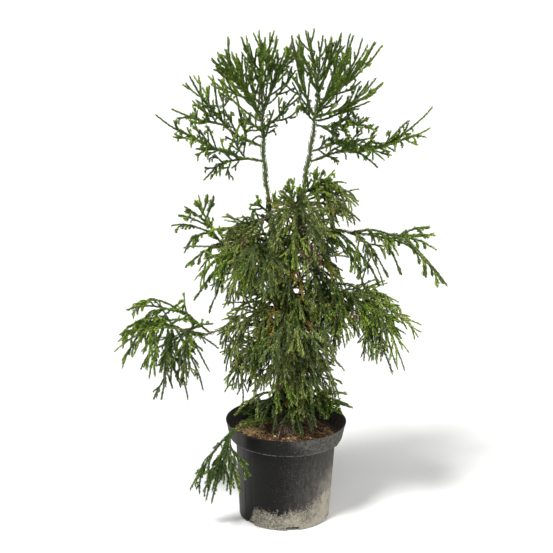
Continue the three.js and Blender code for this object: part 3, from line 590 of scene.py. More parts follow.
@dataclass
class Limb:
    """A trunk, leader, bough or stem: its curve and its radii at the foot and the tip."""
    curve: np.ndarray
    radius: float
    top: float

    def radius_at(self, share):
        """Even from the foot's radius to the tip's."""
        return self.radius + (self.top - self.radius) * share

    @property
    def length(self):
        """From the foot straight to the tip."""
        return np.linalg.norm(self.curve[2] - self.curve[0])


def upright_curve(foot, height, lean, bow):
    """From the foot to foot + (lean, height), its middle pushed aside by twice the bow."""
    tip = foot + np.array([*lean, height])
    return np.stack([foot, (foot + tip) / 2 + 2 * np.array([*bow, 0]), tip])


def limb_curve(foot, azimuth, reach, rise, arch):
    """From the foot outwards by reach and rise, its middle lifted by twice the arch."""
    turn = np.radians(azimuth)
    span = np.array([np.cos(turn) * reach, np.sin(turn) * reach, rise])
    return np.stack([foot, foot + span / 2 + 2 * arch * UP, foot + span])


def way_along(span):
    """A span's azimuth, reach and rise, in whole degrees and millimetres."""
    azimuth, reach = np.degrees(np.arctan2(span[1], span[0])), np.hypot(span[0], span[1])
    return np.round(azimuth) % 360, np.round(reach), np.round(span[2])


def grown_on(carrier, at, way, arch):
    """A limb's curve, set on its carrier's tip or on the side that it grows from."""
    low, high = carrier.curve[0][2], carrier.curve[2][2]
    share = (at - low) / (high - low) if at > 1 else at
    if isinstance(way, Seen):
        way = way_along(way.place() - point_on(carrier.curve, share))
    axis = heading(carrier.curve, share)
    if at == 1:
        return limb_curve(carrier.curve[2] + axis * GAP, *way, arch)
    out = heading(limb_curve(np.zeros(3), *way, arch), 0.0)
    seat = unit(out - np.dot(out, axis) * axis)
    foot = point_on(carrier.curve, share) + seat * carrier.radius_at(share)
    return limb_curve(foot, *way, arch)


def main_limbs():
    """The trunk, the leaders and the boughs, by name."""
    foot = np.array([*TRUNK["foot"], SOIL["height"] + GAP])
    curve = upright_curve(foot, TRUNK["height"], TRUNK["lean"], TRUNK["bow"])
    limbs = {"trunk": Limb(curve, TRUNK["radius"], TRUNK["top"])}
    seat = curve[2] + heading(curve, 1.0) * GAP
    for name, row in LEADERS.items():
        foot = seat + np.array([row["step"], 0, 0])
        curve = upright_curve(foot, row["height"], row["lean"], row["bow"])
        limbs[name] = Limb(curve, **LEADER)
    for name, (on, *shape) in BOUGHS.items():
        limbs[name] = Limb(grown_on(limbs[on], *shape), **BOUGH)
    return limbs


# ---------------------------------------------------------------- foliage, by the growth rule


class Mass(NamedTuple):
    """A mass or a spray: its region, its node if it has one, its stem, habit and growth."""
    region: str
    node: str
    on: str
    at: float
    way: tuple
    arch: float
    habit: str
    shoots: int
    longest: float
    fuller: float
    mood: float

    def stem_on(self, limbs):
        """Its stem's curve, grown on the limb that carries it."""
        return grown_on(limbs[self.on], self.at, self.way, self.arch)


def all_masses():
    """The masses, then the sprays. A row's number is its seed, so their order matters."""
    masses = [Mass(region, node, *row)
              for region, group in MASSES.items() for node, row in group.items()]
    sprays = [Mass(region, "", *row, 1, mood)
              for region, group in SPRAYS.items() for *row, mood in group]
    return masses + sprays


@dataclass
class Cords:
    """Slim limbs of foliage: curve, mass, seed, the spray each is in, and its level."""
    curve: np.ndarray
    mass: np.ndarray
    seed: np.ndarray
    spray: np.ndarray
    level: np.ndarray

    @property
    def length(self):
        """A little under the sum of the two control legs."""
        legs = np.linalg.norm(np.diff(self.curve, axis=1), axis=2)
        return legs.sum(axis=1) * 0.97

    def only(self, chosen):
        """The chosen ones of these cords."""
        return Cords(*(getattr(self, name)[chosen] for name in self.__dataclass_fields__))


def joined(groups):
    """Several groups of cords as one."""
    return Cords(*(
        np.concatenate([getattr(g, name) for g in groups]) for name in Cords.__dataclass_fields__))


def branches(stems, growth, count, longest):
    """
    The growth rule: branch i sits at a share that steps by STEP_ALONG and is turned by
    STEP_ROUND of a circle from the last. It leaves at its lean off the stem's own heading, and
    its second half gives to the growth's pull.
    """
    owner, index = ragged(count)
    seed, curve = stems.seed[owner], stems.curve[owner]
    step = 0.5 + STEP_ALONG * index
    along = growth.first + (LAST_SHOOT - growth.first) * (step - np.floor(step))
    turn = TAU * (STEP_ROUND * index + chance(seed, 0, 1))
    lean = np.radians(growth.lean * (0.8 + 0.4 * chance(seed, index, 2)))
    length = longest[owner] * (1 - growth.fade * along) * (0.75 + 0.4 * chance(seed, index, 3))
    forward, side = heading(curve, along), bend_axis(curve)
    upper = np.cross(side, forward)
    out = side * np.cos(turn)[:, None] + upper * (growth.whorl * np.sin(turn))[:, None]
    first = forward * np.cos(lean)[:, None] + unit(out) * np.sin(lean)[:, None]
    last = unit(first + (growth.pull - first) * growth.bend)
    foot = point_on(curve, along)
    middle = foot + first * length[:, None] / 2
    tip = middle + last * length[:, None] / 2
    level = stems.level[owner] + 1
    new = np.arange(len(owner))
    return Cords(
        np.stack([foot, middle, tip], axis=1), stems.mass[owner], seed * 3.7 + index + 11.3,
        np.where(level == 1, new + 1000 * stems.mass[owner], stems.spray[owner]), level)


def mass_cords(rows, mass, limbs):
    """All cords of the masses with one habit: stems, shoots, twigs and twiglets, and curls."""
    curves = np.stack([row.stem_on(limbs) for row in rows])
    stems = Cords(curves, mass, mass + 1.0, 1000.0 * mass + 999, np.zeros(len(rows), int))
    count = np.round([row.shoots * row.fuller for row in rows]).astype(int)
    own, *finer = HABITS[rows[0].habit]
    levels = [stems, branches(stems, own, count, np.array([row.longest for row in rows]))]
    for growth in finer:
        last = levels[-1]
        count = np.round(last.length / growth.every * (0.8 + 0.4 * chance(last.seed, 1, 5)))
        levels.append(branches(last, growth, count.astype(int), last.length * growth.share))
    grown = joined(levels)
    if rows[0].habit not in CURLS:
        return grown
    curl, longest = CURLS[rows[0].habit]
    count = np.round(grown.length / curl.every * (0.6 + 0.8 * chance(grown.seed, 2, 5)))
    curls = branches(grown, curl, count.astype(int), np.full(len(count), float(longest)))
    return joined([grown, curls])


# ---------------------------------------------------------------- meshes


class Shape:
    """Points and faces gathered for one piece, with each face's finish and whether it's smooth."""

    def __init__(self):
        self.points, self.faces, self.total = [], [], 0

    def add(self, points, faces, ends=None, finish=0, end_finish=0, smooth=True):
        """Points, their faces, and the flat faces that close the ends."""
        for some, kinds, soft in ((faces, finish, smooth), (ends, end_finish, False)):
            if some is not None:
                kinds = np.broadcast_to(np.asarray(kinds), len(some))
                self.faces.append((some + self.total, kinds, np.full(len(some), soft)))
        self.points.append(points.reshape(-1, 3))
        self.total += len(self.points[-1])

    def piece(self, name, finishes, slot, nodes):
        """The gathered shape as an object at the origin that rides on the root body."""
        points = np.concatenate(self.points) * MM
        corners = np.concatenate([faces.ravel() for faces, _, _ in self.faces])
        sides = np.concatenate([np.full(len(f), f.shape[1]) for f, _, _ in self.faces])
        mesh = bpy.data.meshes.new(name)
        mesh.vertices.add(len(points))
        mesh.vertices.foreach_set("co", points.ravel().astype(np.float32))
        mesh.loops.add(len(corners))
        mesh.loops.foreach_set("vertex_index", corners.astype(np.int32))
        mesh.polygons.add(len(sides))
        mesh.polygons.foreach_set("loop_start", (np.cumsum(sides) - sides).astype(np.int32))
        mesh.polygons.foreach_set(
            "material_index", np.concatenate([f for _, f, _ in self.faces]).astype(np.int32))
        mesh.polygons.foreach_set("use_smooth", np.concatenate([s for _, _, s in self.faces]))
        for finish in finishes:
            mesh.materials.append(finish)
        mesh.update(calc_edges=True)
        mesh.validate()
        made = bpy.data.objects.new(name, mesh)
        bpy.context.scene.collection.objects.link(made)
        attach(made, "root")
        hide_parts(*nodes)
        return made


def repeated(one, corners, count):
    """One small solid's faces, again for each of `count` solids with so many corners."""
    return (np.array(one) + corners * np.arange(count)[:, None, None]).reshape(-1, 3)


def tubes(centre, side, way, radius, is_first, is_last, sides):
    """
    Rings carried along paths: point = centre + radius (cos a side + sin a (way x side)). Each
    ring is joined to the next one of its own path, and both ends are capped.
    """
    upper = np.cross(way, side)
    angle = np.arange(sides) * TAU / sides
    spoke = side[:, None] * np.cos(angle)[:, None] + upper[:, None] * np.sin(angle)[:, None]
    points = centre[:, None] + spoke * radius.reshape(len(centre), -1, 1)
    ring, corner = np.flatnonzero(~is_last)[:, None] * sides, np.arange(sides)
    after = (corner + 1) % sides
    walls = np.stack([ring + corner, ring + after, ring + sides + after, ring + sides + corner], -1)
    ends = np.concatenate([
        np.flatnonzero(is_first)[:, None] * sides + corner[::-1],
        np.flatnonzero(is_last)[:, None] * sides + corner])
    return points, walls.reshape(-1, 4), ends


def bent_tubes(curve, share, radius, sides):
    """A ring on each bent line at its share, which runs from 0 to 1 along every tube."""
    return tubes(point_on(curve, share), bend_axis(curve), heading(curve, share), radius,
                 share == 0, share == 1, sides)


def bark_radius(cords, owner, share, cores, clubs):
    """
    From its level's first radius to its last, and a club for the last centimetre of most cords
    of a mass that has them: + its club, from CLUB_STARTS to CLUB_FULL before the tip.
    """
    core, left = np.array(cores)[cords.level[owner]], cords.length[owner] * (1 - share)
    club = np.where(chance(cords.seed[owner], 4, 8) < 0.8, clubs[cords.mass[owner]], 0)
    club = club * smooth_step(CLUB_STARTS, CLUB_FULL, left)
    return core[:, 0] + (core[:, 1] - core[:, 0]) * share + club


def cord_tubes(cords, cores, clubs, step=9, sides=3):
    """The bark of each cord, as a tube with a ring for each step of its length."""
    count = np.maximum(3, np.ceil(cords.length / step).astype(int) + 1)
    owner, place = ragged(count)
    share = place / (count[owner] - 1)
    radius = bark_radius(cords, owner, share, cores, clubs)
    return bent_tubes(cords.curve[owner], share, np.where(share == 1, 0.6 * radius, radius), sides)


def needle_faces(count):
    """Four faces for each needle, over its root, left, right and tip."""
    return repeated([[0, 2, 1], [3, 1, 2], [0, 1, 3], [0, 3, 2]], 4, count)


def face_tints(kinds):
    """Each needle's tint on its outer end, and the next darker green on its other faces, at the
    root and underneath, as painted shade between the needles.
    """
    # painted shade: the root and under faces of a needle take the next darker green
    darker = np.where((kinds < SAGE) & (kinds % OLIVE < SHADE), kinds + 1, kinds)
    return np.stack([darker, kinds, darker, darker], -1).ravel()


def needles_on(centre, way, out, bark, size, kind, point=1.0):
    """
    Incurved needles: from a root under the bark by way of a broad waist that stands out a
    little to a point further on.
    """
    half = np.cross(way, out) * (kind.width / 2)
    size, bark = size[:, None], bark[:, None]
    middle = centre + way * size * 0.45 + out * (bark + kind.waist)
    tip = centre + way * size + out * (bark + kind.point * np.asarray(point)[..., None])
    return np.stack([centre + out * bark * 0.4, middle - half, middle + half, tip], axis=1)


def cord_needles(cords, cores, kind, clubs):
    """
    Needles round each cord, one for each `apart` millimetres, a golden angle from the last,
    that close over its tip.
    """
    count = np.maximum(4, (cords.length / kind.apart).astype(int))
    owner, place = ragged(count)
    reach, seed = cords.length[owner], cords.seed[owner]
    share = (place + 0.6) / count[owner] * (1 - 3.5 / reach)
    curve = cords.curve[owner]
    way, out = round_about(curve, share, GOLDEN * place + TAU * chance(seed, 0, 7))
    closing = smooth_step(6.5, 3, reach * (1 - share))
    size = kind.length * (0.8 + 0.4 * chance(seed, place, 8)) * (1 - 0.45 * closing)
    bark = bark_radius(cords, owner, share, cores, clubs) * (1 - 0.15 * closing)
    points = needles_on(point_on(curve, share), way, out, bark, size, kind, 1 - 0.8 * closing)
    return points, needle_faces(len(points)), owner, share


def lathe(outline, turns):
    """A closed (radius, height) outline, from the axis back to it, carried round the turns."""
    rings, sides = len(outline) - 2, len(turns)
    radius, height = outline[1:-1, :1], outline[1:-1, 1:]
    grid = np.stack([radius * np.cos(turns), radius * np.sin(turns), height + 0 * turns], -1)
    i, j = np.arange(rings - 1)[:, None] * sides, np.arange(sides)
    k = (j + 1) % sides
    walls = np.stack([i + j, i + k, i + sides + k, i + sides + j], -1).reshape(-1, 4)
    last, pole = (rings - 1) * sides, rings * sides
    poles = np.concatenate([
        np.stack([np.full(sides, pole), k, j], -1),
        np.stack([last + j, last + k, np.full(sides, pole + 1)], -1)])
    ends = np.array([[0, 0, outline[0, 1]], [0, 0, outline[-1, 1]]])
    return grid, ends, walls, poles


def eased(outline, radius):
    """An outline whose corners give way to arcs: a point before, one inside and one after."""
    corner = outline[1:-1]
    into, away = (
        corner + unit(leg) * np.minimum(radius, 0.4 * np.linalg.norm(leg, axis=1, keepdims=True))
        for leg in (outline[:-2] - corner, outline[2:] - corner))
    middle = (into + 2 * corner + away) / 4
    arcs = np.stack([into, middle, away], axis=1).reshape(-1, 2)
    return np.concatenate([outline[:1], arcs, outline[-1:]])


# ---------------------------------------------------------------- finishes


def tint(code):
    """A hexadecimal screen colour as linear red, green and blue."""
    value = np.array([int(code[i:i + 2], 16) / 255 for i in (0, 2, 4)])
    return (*np.where(value < 0.04045, value / 12.92, ((value + 0.055) / 1.055) ** 2.4), 1)


class Finish:
    """A material's nodes, added one by one and read on Object coordinates."""

    def __init__(self, name, roughness=0.6, colour=None):
        self.material = bpy.data.materials.new(name)
        self.material.use_nodes = True
        self.tree = self.material.node_tree
        self.shader = self.tree.nodes["Principled BSDF"]
        self.place = self.node("TexCoord").outputs["Object"]
        self.shader.inputs["Roughness"].default_value = roughness
        if colour is not None:
            self.shader.inputs["Base Color"].default_value = colour

    def node(self, kind, *values, **settings):
        """A node whose inputs are numbers, colours or other nodes' outputs, in order."""
        made = self.tree.nodes.new("ShaderNode" + kind)
        for name, value in settings.items():
            setattr(made, name, value)
        for socket, value in zip(made.inputs, values):
            if isinstance(value, bpy.types.NodeSocket):
                self.tree.links.new(value, socket)
            elif value is not None:
                socket.default_value = value
        return made

    def math(self, operation, *values):
        """One operation on its values, which are numbers or outputs."""
        return self.node("Math", *values, operation=operation).outputs[0]

    def times(self, *factors):
        """The product of them all."""
        return reduce(lambda a, b: self.math("MULTIPLY", a, b), factors)

    def most(self, *values):
        """The greatest of them all."""
        return reduce(lambda a, b: self.math("MAXIMUM", a, b), values)

    def stirred(self, value, noise, gain):
        """value + gain (noise - 1/2)."""
        return self.math("MULTIPLY_ADD", self.math("SUBTRACT", noise, 0.5), gain, value)

    def noise(self, scale, detail=3.0, rough=0.55):
        """Clouds of so many grains to the metre, with finer ones in them."""
        return self.node("TexNoise", self.place, None, scale, detail, rough).outputs["Fac"]

    def drawn_noise(self, scale, detail, rough):
        """Noise with its own scale on each axis."""
        place = self.node("Mapping", self.place, None, None, scale).outputs[0]
        return self.node("TexNoise", place, None, 1.0, detail, rough).outputs["Fac"]

    def step(self, value, low, high, first=0.0, last=1.0):
        """first below `low`, last above `high`, and a smooth way between."""
        made = self.node("MapRange", value, low, high, first, last, interpolation_type="SMOOTHSTEP")
        return made.outputs[0]

    def mix(self, share, first, last):
        """A colour between two others, given as outputs or as codes."""
        first, last = (tint(c) if isinstance(c, str) else c for c in (first, last))
        return self.node("MixRGB", share, first, last).outputs[0]

    def set(self, **sockets):
        """Links outputs to the shader's inputs, by name."""
        for name, value in sockets.items():
            self.tree.links.new(value, self.shader.inputs[name.replace("_", " ")])

    def bump(self, height, strength, distance):
        """Relief of so many metres. It gives the finished material."""
        made = self.node("Bump", strength, distance)
        self.tree.links.new(height, made.inputs["Height"])
        self.tree.links.new(made.outputs[0], self.shader.inputs["Normal"])
        return self.material


def leaf_finish(name, code):
    """A needle's finish: one plain colour, waxy in patches, with fine lengthwise lines."""
    made = Finish(name, colour=tint(code))
    made.set(Roughness=made.step(made.noise(900), 0.3, 0.7, 0.48, 0.72))
    made.shader.inputs["Specular IOR Level"].default_value = 0.18
    return made.bump(made.noise(2500), 0.25, 0.0002)


def bark_finish(name, dark, light, patch, wider=0.0):
    """Bark: dark furrows and light fibres drawn out along the limb, and mossy or rusty patches."""
    made = Finish(name, roughness=0.85)
    fibres, patches = made.drawn_noise((900, 900, 90), 5, 0.6), made.noise(55, 3)
    colour = made.mix(made.step(fibres, 0.35, 0.65), dark, light)
    patched = made.step(patches, 0.62 - wider, 0.72 - wider)
    made.set(Base_Color=made.mix(patched, colour, patch))
    return made.bump(fibres, 0.7, 0.0012)


def litter_finishes(tints, roughness, scale, detail, strength, depth):
    """One plain colour each, with a fine grain in relief."""
    plain = [Finish(name, roughness, tint(code)) for name, code in tints.items()]
    return [made.bump(made.noise(scale, detail), strength, depth) for made in plain]


# ---------------------------------------------------------------- the pot


def pot_outline():
    """The pot's (radius, height) outline: underside, wall, stepped collar, lip and inside."""
    top, lip = POT["height"], POT["rim"] - POT["wall"]
    collar, foot, band = top - POT["collar_drop"], POT["foot"], POT["foot_band"]
    wall, disc, recess = POT["rim"] - 2 * POT["collar_step"], POT["disc"], POT["recess"]
    step, floor = POT["collar_step"], POT["floor"]
    return np.array([
        (0, 0), (disc, 0), (disc + 5, recess), (foot - band - 2, recess), (foot - band, 0),
        (foot, 0), (foot + 2, 2), (wall, collar), (wall + step, collar + 0.5),
        (wall + step + 3, collar + 5), (POT["rim"] - 1.5, top - 3), (POT["rim"], top),
        (lip, top), (lip - 8, collar + 9), (lip - 10, collar + 3.5), (wall - 2, collar + 2),
        (foot, recess + 4), (foot - band - 2, recess + 2.5), (disc + 4, recess + 2.5),
        (disc, floor), (0, floor),
    ], float)


def pot_piece():
    """The lathed pot. Across each notch, what is lower than the recess rises to it."""
    turn = np.radians(POT["notch_turn"] + np.arange(POT["notches"]) * 360 / POT["notches"])
    half = POT["notch_width"] / 2 / POT["foot"]
    edges = (turn[:, None] + np.array([-half, half])).ravel()
    edges = np.concatenate([edges - 0.002, edges + 0.002]) % TAU
    angles = np.sort(np.concatenate([np.linspace(0, TAU, 144, endpoint=False), edges]))
    off = np.abs((angles[:, None] - turn + np.pi) % TAU - np.pi).min(axis=1)
    grid, ends, walls, poles = lathe(eased(pot_outline(), 1.2), angles)
    radius = np.hypot(grid[..., 0], grid[..., 1])
    lifted = (off < half) & (radius > POT["disc"] + 6)
    grid[..., 2] = np.where(lifted, np.maximum(grid[..., 2], POT["recess"]), grid[..., 2])
    shape = Shape()
    shape.add(np.concatenate([grid.reshape(-1, 3), ends]), walls, poles)
    made = shape.piece("pot_shell", [pot_finish()], "pot_plastic", ["pot"])
    made.data.set_sharp_from_angle(angle=np.radians(35))


def pot_finish():
    """
    Black moulded plastic: a grey haze to the right that runs down in streaks, a painted
    highlight of grey down the left edge, a scuffed line round the collar's lower edge, specks of
    dust, and a crust of lime round the foot that climbs to the right, ragged at its edge in front
    and fading upwards at the side.
    """
    made = Finish("pot_plastic_worn")
    made.shader.inputs["Specular IOR Level"].default_value = 0.12
    x, y, z = made.node("SeparateXYZ", made.place).outputs
    cloud, grain, speck = made.noise(34, 5, 0.6), made.noise(420, 4, 0.7), made.noise(520, 2)
    streak, blot = made.drawn_noise((150, 150, 34), 5, 0.65), made.noise(260, 6, 0.75)
    front = made.step(y, 0.0, 0.075, 1.0, 0.45)
    # the haze on the wall and on the collar, a painted highlight at the left edge, the scuffed line
    # and the dust
    wall = made.times(
        made.math("POWER", made.step(x, -0.03, 0.105), 1.3), made.step(z, 0.02, 0.17, 1.0, 0.42),
        made.step(streak, 0.35, 0.65, 0.5, 1.0),
        made.step(made.noise(120, 6, 0.7), 0.3, 0.62, 0.5, 1.1))
    slant = made.math("MULTIPLY_ADD", z, 0.9, made.math("ADD", x, -0.18))
    collar = made.times(
        made.step(slant, -0.008, 0.03), made.step(made.noise(150, 6, 0.7), 0.35, 0.62, 0.15, 0.6),
        made.step(z, 0.163, 0.165))
    # painted highlight: grey down the pot's left edge, in place of the light caught there
    left = made.step(x, -0.072, -0.1, 0.0, 0.3)
    scuff = made.times(
        made.step(z, 0.1632, 0.1644), made.step(z, 0.168, 0.1655),
        made.step(made.drawn_noise((190, 190, 8), 2, 0.5), 0.42, 0.6, 0.15, 0.9))
    dust = made.times(made.step(speck, 0.6, 0.68), made.step(x, -0.04, 0.03, 0.05, 0.55))
    # grey: the haze, the scuff, the dust and the painted highlight at the left edge
    grey = made.times(made.most(wall, collar, left, scuff, dust), front)
    # the lime: its upper edge, in metres over the ground
    foot, climb = made.step(x, -0.07, -0.058, 0.004, 0.036), made.step(x, 0.0, 0.085, 0.0, 0.032)
    edge = made.times(made.math("ADD", foot, climb), front)
    for noise, gain in ((cloud, 0.045), (grain, 0.055), (streak, 0.03)):
        edge = made.stirred(edge, noise, gain)
    under = made.math("SUBTRACT", edge, z)
    soft = made.times(made.step(under, -0.06, 0.0), made.step(x, 0.045, 0.1, 0.0, 0.6))
    lime = made.most(made.step(under, -0.003, 0.004), soft)
    black = made.mix(made.step(grain, 0.4, 0.7), "070706", "151412")
    mottle = made.mix(made.step(blot, 0.4, 0.6), "57534a", "948f82")
    pale = made.mix(made.step(blot, 0.3, 0.5), "8d8676", "aea799")
    paler = made.step(made.math("MULTIPLY_ADD", x, 4.0, cloud), 0.5, 0.95)
    crust = made.mix(made.step(speck, 0.6, 0.68), made.mix(paler, mottle, pale), "4c4336")
    matt = made.most(made.step(grey, 0.0, 0.4, 0.4, 0.75), made.times(lime, 0.95))
    made.set(Base_Color=made.mix(lime, made.mix(grey, black, "76736d"), crust), Roughness=matt)
    return made.bump(made.math("MULTIPLY_ADD", lime, 1.2, made.times(grain, 0.4)), 0.5, 0.0006)


# ---------------------------------------------------------------- the soil


def soil_height(x, y):
    """
    The soil's level: the part's outline from the middle to the edge, lumps as a sum of
    crossed waves, and a hollow along the wall at the right and back.
    """
    radius, turn = np.hypot(x, y), np.degrees(np.arctan2(y, x))
    level = np.interp(radius, [SOIL["flat"], SOIL["slope"], SOIL["reach"]],
                      [SOIL["height"], SOIL["height"] - SOIL["slope_drop"], SOIL["edge"]])
    lumps = (np.sin(x / 4.1 + y / 9) + np.sin(y / 3.3 - x / 7) + np.sin((x + y) / 5.7)
             + np.sin(x / 2.1 - y / 2.7) * 0.6 + np.sin(y / 1.7 + x / 3.1) * 0.6)
    hollow = smooth_step(86, 106, radius) * smooth_step(75, 30, np.abs(turn - 18))
    return level + 0.55 * lumps * smooth_step(9, 18, radius) - 9 * hollow - 1.2


def soil_pieces():
    """The soil's bed with lumps in its top, then bark chips and straw strewn over it."""
    lip, clear = POT["rim"] - POT["wall"], SOIL["clear"]
    collar, foot, band = POT["height"] - POT["collar_drop"], POT["foot"], POT["foot_band"]
    wall, bottom = POT["rim"] - 2 * POT["collar_step"] - 2, POT["recess"] + 3.2
    top = np.stack([np.linspace(0, SOIL["reach"] - 0.5, 60), np.zeros(60)], -1)
    under = np.array([
        (lip - 10.8, collar + 4), (wall - clear, collar + 2.5), (foot - clear, bottom + 2),
        (foot - band - 2, bottom), (POT["disc"] + 3, bottom),
        (POT["disc"] - clear, POT["floor"] + clear), (0, POT["floor"] + clear)])
    outline = np.concatenate([top, under])[::-1]
    grid, ends, walls, poles = lathe(outline, np.linspace(0, TAU, 200, endpoint=False))
    bed = grid[len(under) - 1:]
    bed[..., 2] = soil_height(bed[..., 0], bed[..., 1])
    ends[1, 2] = soil_height(0.0, 0.0)
    shape = Shape()
    shape.add(np.concatenate([grid.reshape(-1, 3), ends]), walls, poles)
    crumb = Finish("soil_crumb", roughness=0.95)
    grain = crumb.noise(260, 5, 0.7)
    crumb.set(Base_Color=crumb.mix(crumb.step(grain, 0.35, 0.65), "2a1d14", "5d4330"))
    shape.piece("soil_bed", [crumb.bump(grain, 1.0, 0.002)], "potting_soil", ["soil"])
    chip_piece()
    straw_piece()


def strewn(kind):
    """Places spread evenly over the soil between two radii, on its surface."""
    radius = np.sqrt(RNG.uniform(kind["inner"]**2, kind["outer"]**2, kind["count"]))
    turn = RNG.uniform(0, TAU, kind["count"])
    x, y = radius * np.cos(turn), radius * np.sin(turn)
    return np.stack([x, y, soil_height(x, y) + kind["lift"]], -1)


def flat_frames(kind):
    """Three square directions for each thing strewn: a level one turned at random, then tilted."""
    count, tilt = kind["count"], kind["tilt"]
    turn = RNG.uniform(0, TAU, count)
    along = unit(np.stack([np.cos(turn), np.sin(turn), RNG.normal(0, tilt, count)], -1))
    lean = RNG.normal(0, tilt, (2, count))
    across = unit(np.cross(unit(np.stack([*lean, np.ones(count)], -1)), along))
    return along, across, np.cross(along, across)


def chip_piece():
    """Bark chips: six-pointed flakes, each half as broad as long and a fifth as thick."""
    count = CHIPS["count"]
    length = RNG.gamma(5, 0.64, count)[:, None]
    along, across, rise = flat_frames(CHIPS)
    place = strewn(CHIPS)
    broad = length * RNG.uniform(0.35, 0.7, (count, 1))
    thick = length * RNG.uniform(0.15, 0.3, (count, 1))
    skew = RNG.uniform(-0.4, 0.4, (count, 1)) * along * length
    points = np.stack([
        place - along * length, place + along * length, place - across * broad + skew,
        place + across * broad - skew, place - rise * thick, place + rise * thick], axis=1)
    faces = repeated([
        [1, 3, 5], [3, 0, 5], [0, 2, 5], [2, 1, 5], [3, 1, 4], [0, 3, 4], [2, 0, 4], [1, 2, 4],
    ], 6, count)
    kinds = RNG.choice(5, count, p=[0.36, 0.34, 0.18, 0.09, 0.03])
    shape = Shape()
    shape.add(points, faces, finish=np.repeat(kinds, 8), smooth=False)
    finishes = litter_finishes(CHIP_TINTS, 0.9, 700, 4, 0.8, 0.0008)
    shape.piece("soil_chips", finishes, "potting_soil", ["soil"])


def straw_piece():
    """
    Dry needles and straw: thin bent tubes that lie on the chips, pale or rust-brown, the last
    of them in a loose heap at the left.
    """
    count, heap, rings, sides = STRAWS["count"], STRAW_HEAP["count"], 5, 3
    along, across, rise = flat_frames(STRAWS)
    length = RNG.uniform(7, 24, count)[:, None]
    place = strewn(STRAWS)
    x, y = (RNG.normal(middle, spread, heap)
            for middle, spread in zip(STRAW_HEAP["middle"], STRAW_HEAP["spread"]))
    place[-heap:] = np.stack([x, y, soil_height(x, y) + RNG.uniform(1.5, 6, heap)], -1)
    bend = RNG.normal(0, 0.22, (count, 1)) * across
    curve = np.stack([
        place - along * length / 2, place + (bend + 0.16 * rise) * length,
        place + along * length / 2], axis=1)
    owner, step = ragged(np.full(count, rings))
    share = step / (rings - 1)
    radius = STRAWS["radius"] * np.sin(np.pi * (0.12 + 0.76 * share))
    points, walls, ends = bent_tubes(curve[owner], share, radius, sides)
    kinds = RNG.choice(3, count, p=[0.45, 0.3, 0.25])
    kinds[-heap:] = RNG.choice(2, heap, p=[0.8, 0.2])
    shape = Shape()
    shape.add(points, walls, ends, np.repeat(kinds, sides * (rings - 1)), np.tile(kinds, 2))
    finishes = litter_finishes(STRAW_TINTS, 0.7, 1200, 3, 0.4, 0.0003)
    shape.piece("soil_straw", finishes, "potting_soil", ["soil"])


# ---------------------------------------------------------------- trunk, leaders and boughs


def barked(limb, rings, sides, relief, flare=0.0):
    """A limb's tube, its radius raised by the relief at each share and angle, and by a flare."""
    share = np.linspace(0, 1, rings)
    angle = np.arange(sides) * TAU / sides
    along = share[:, None] * limb.length
    radius = limb.radius_at(share)[:, None] + relief(along, angle)
    radius = radius + flare * np.exp(-along / TRUNK["flare_height"])
    radius = radius * np.where(share == 1, 0.5, 1)[:, None]
    points, walls, ends = bent_tubes(
        np.broadcast_to(limb.curve, (rings, 3, 3)), share, radius, sides)
    return swayed(points), walls, ends


def fibrous(along, angle):
    """Long ridges that wander round the trunk: sines of the angle whose phase drifts upwards."""
    drift = 0.5 * np.sin(along / 37) + 0.3 * np.sin(along / 15 + 1)
    return (0.5 * np.sin(7 * angle + 3 * drift) + 0.4 * np.sin(13 * angle - 4 * drift + along / 60)
            + 0.3 * np.sin(23 * angle + 5 * drift) - 0.6)


def scarred(along, angle):
    """The old leaf bases on young bark: short ridges in a spiral."""
    return 0.28 * np.sin(5 * angle + along / 2.2) * np.sin(3 * angle - along / 3.1) - 0.5


def limb_pieces(limbs):
    """Bark over the trunk, the leaders and the boughs, with loose strips on the trunk."""
    old = bark_finish("trunk_bark", "5b4434", "b29a83", "6b6a4c")
    shred = bark_finish("shredded_bark", "715d4c", "baa893", "8a7d66")
    young = bark_finish("young_bark", "333d1c", "59662f", "7a4826", 0.06)
    shape = Shape()
    shape.add(*barked(limbs["trunk"], 150, 48, fibrous, TRUNK["flare"]))
    shape.add(*bark_strips(limbs["trunk"]))
    shape.add(*foot_shreds(), finish=1, end_finish=1)
    shape.piece("trunk_bark", [old, shred], "bark", ["trunk"])
    for name, members, rings in (("leader_bark", LEADERS, 160), ("bough_bark", BOUGHS, 60)):
        shape = Shape()
        for member in members:
            shape.add(*barked(limbs[member], rings, 14, scarred))
        shape.piece(name, [young], "bark", members)


def bark_strips(trunk):
    """Loose fibres of bark: flat tubes that lie along the trunk and lift a little at one end."""
    count, rings = 90, 5
    low = RNG.uniform(0.01, 0.6, count)
    high = low + RNG.uniform(0.05, 0.14, count)
    turn = RNG.uniform(0, TAU, count)
    owner, step = ragged(np.full(count, rings))
    t = step / (rings - 1)
    share = low[owner] + (high - low)[owner] * t
    curve = np.broadcast_to(trunk.curve, (len(owner), 3, 3))
    way, out = round_about(curve, share, turn[owner] + 0.25 * t)
    flare = TRUNK["flare"] * np.exp(-share * TRUNK["height"] / TRUNK["flare_height"])
    off = trunk.radius_at(share) + flare - 0.2 + 1.6 * t**2
    points, walls, ends = tubes(
        point_on(curve, share) + out * off[:, None], np.cross(way, out), way,
        0.9 * np.sin(np.pi * (0.15 + 0.7 * t)), step == 0, t == 1, 4)
    return swayed(points), walls, ends


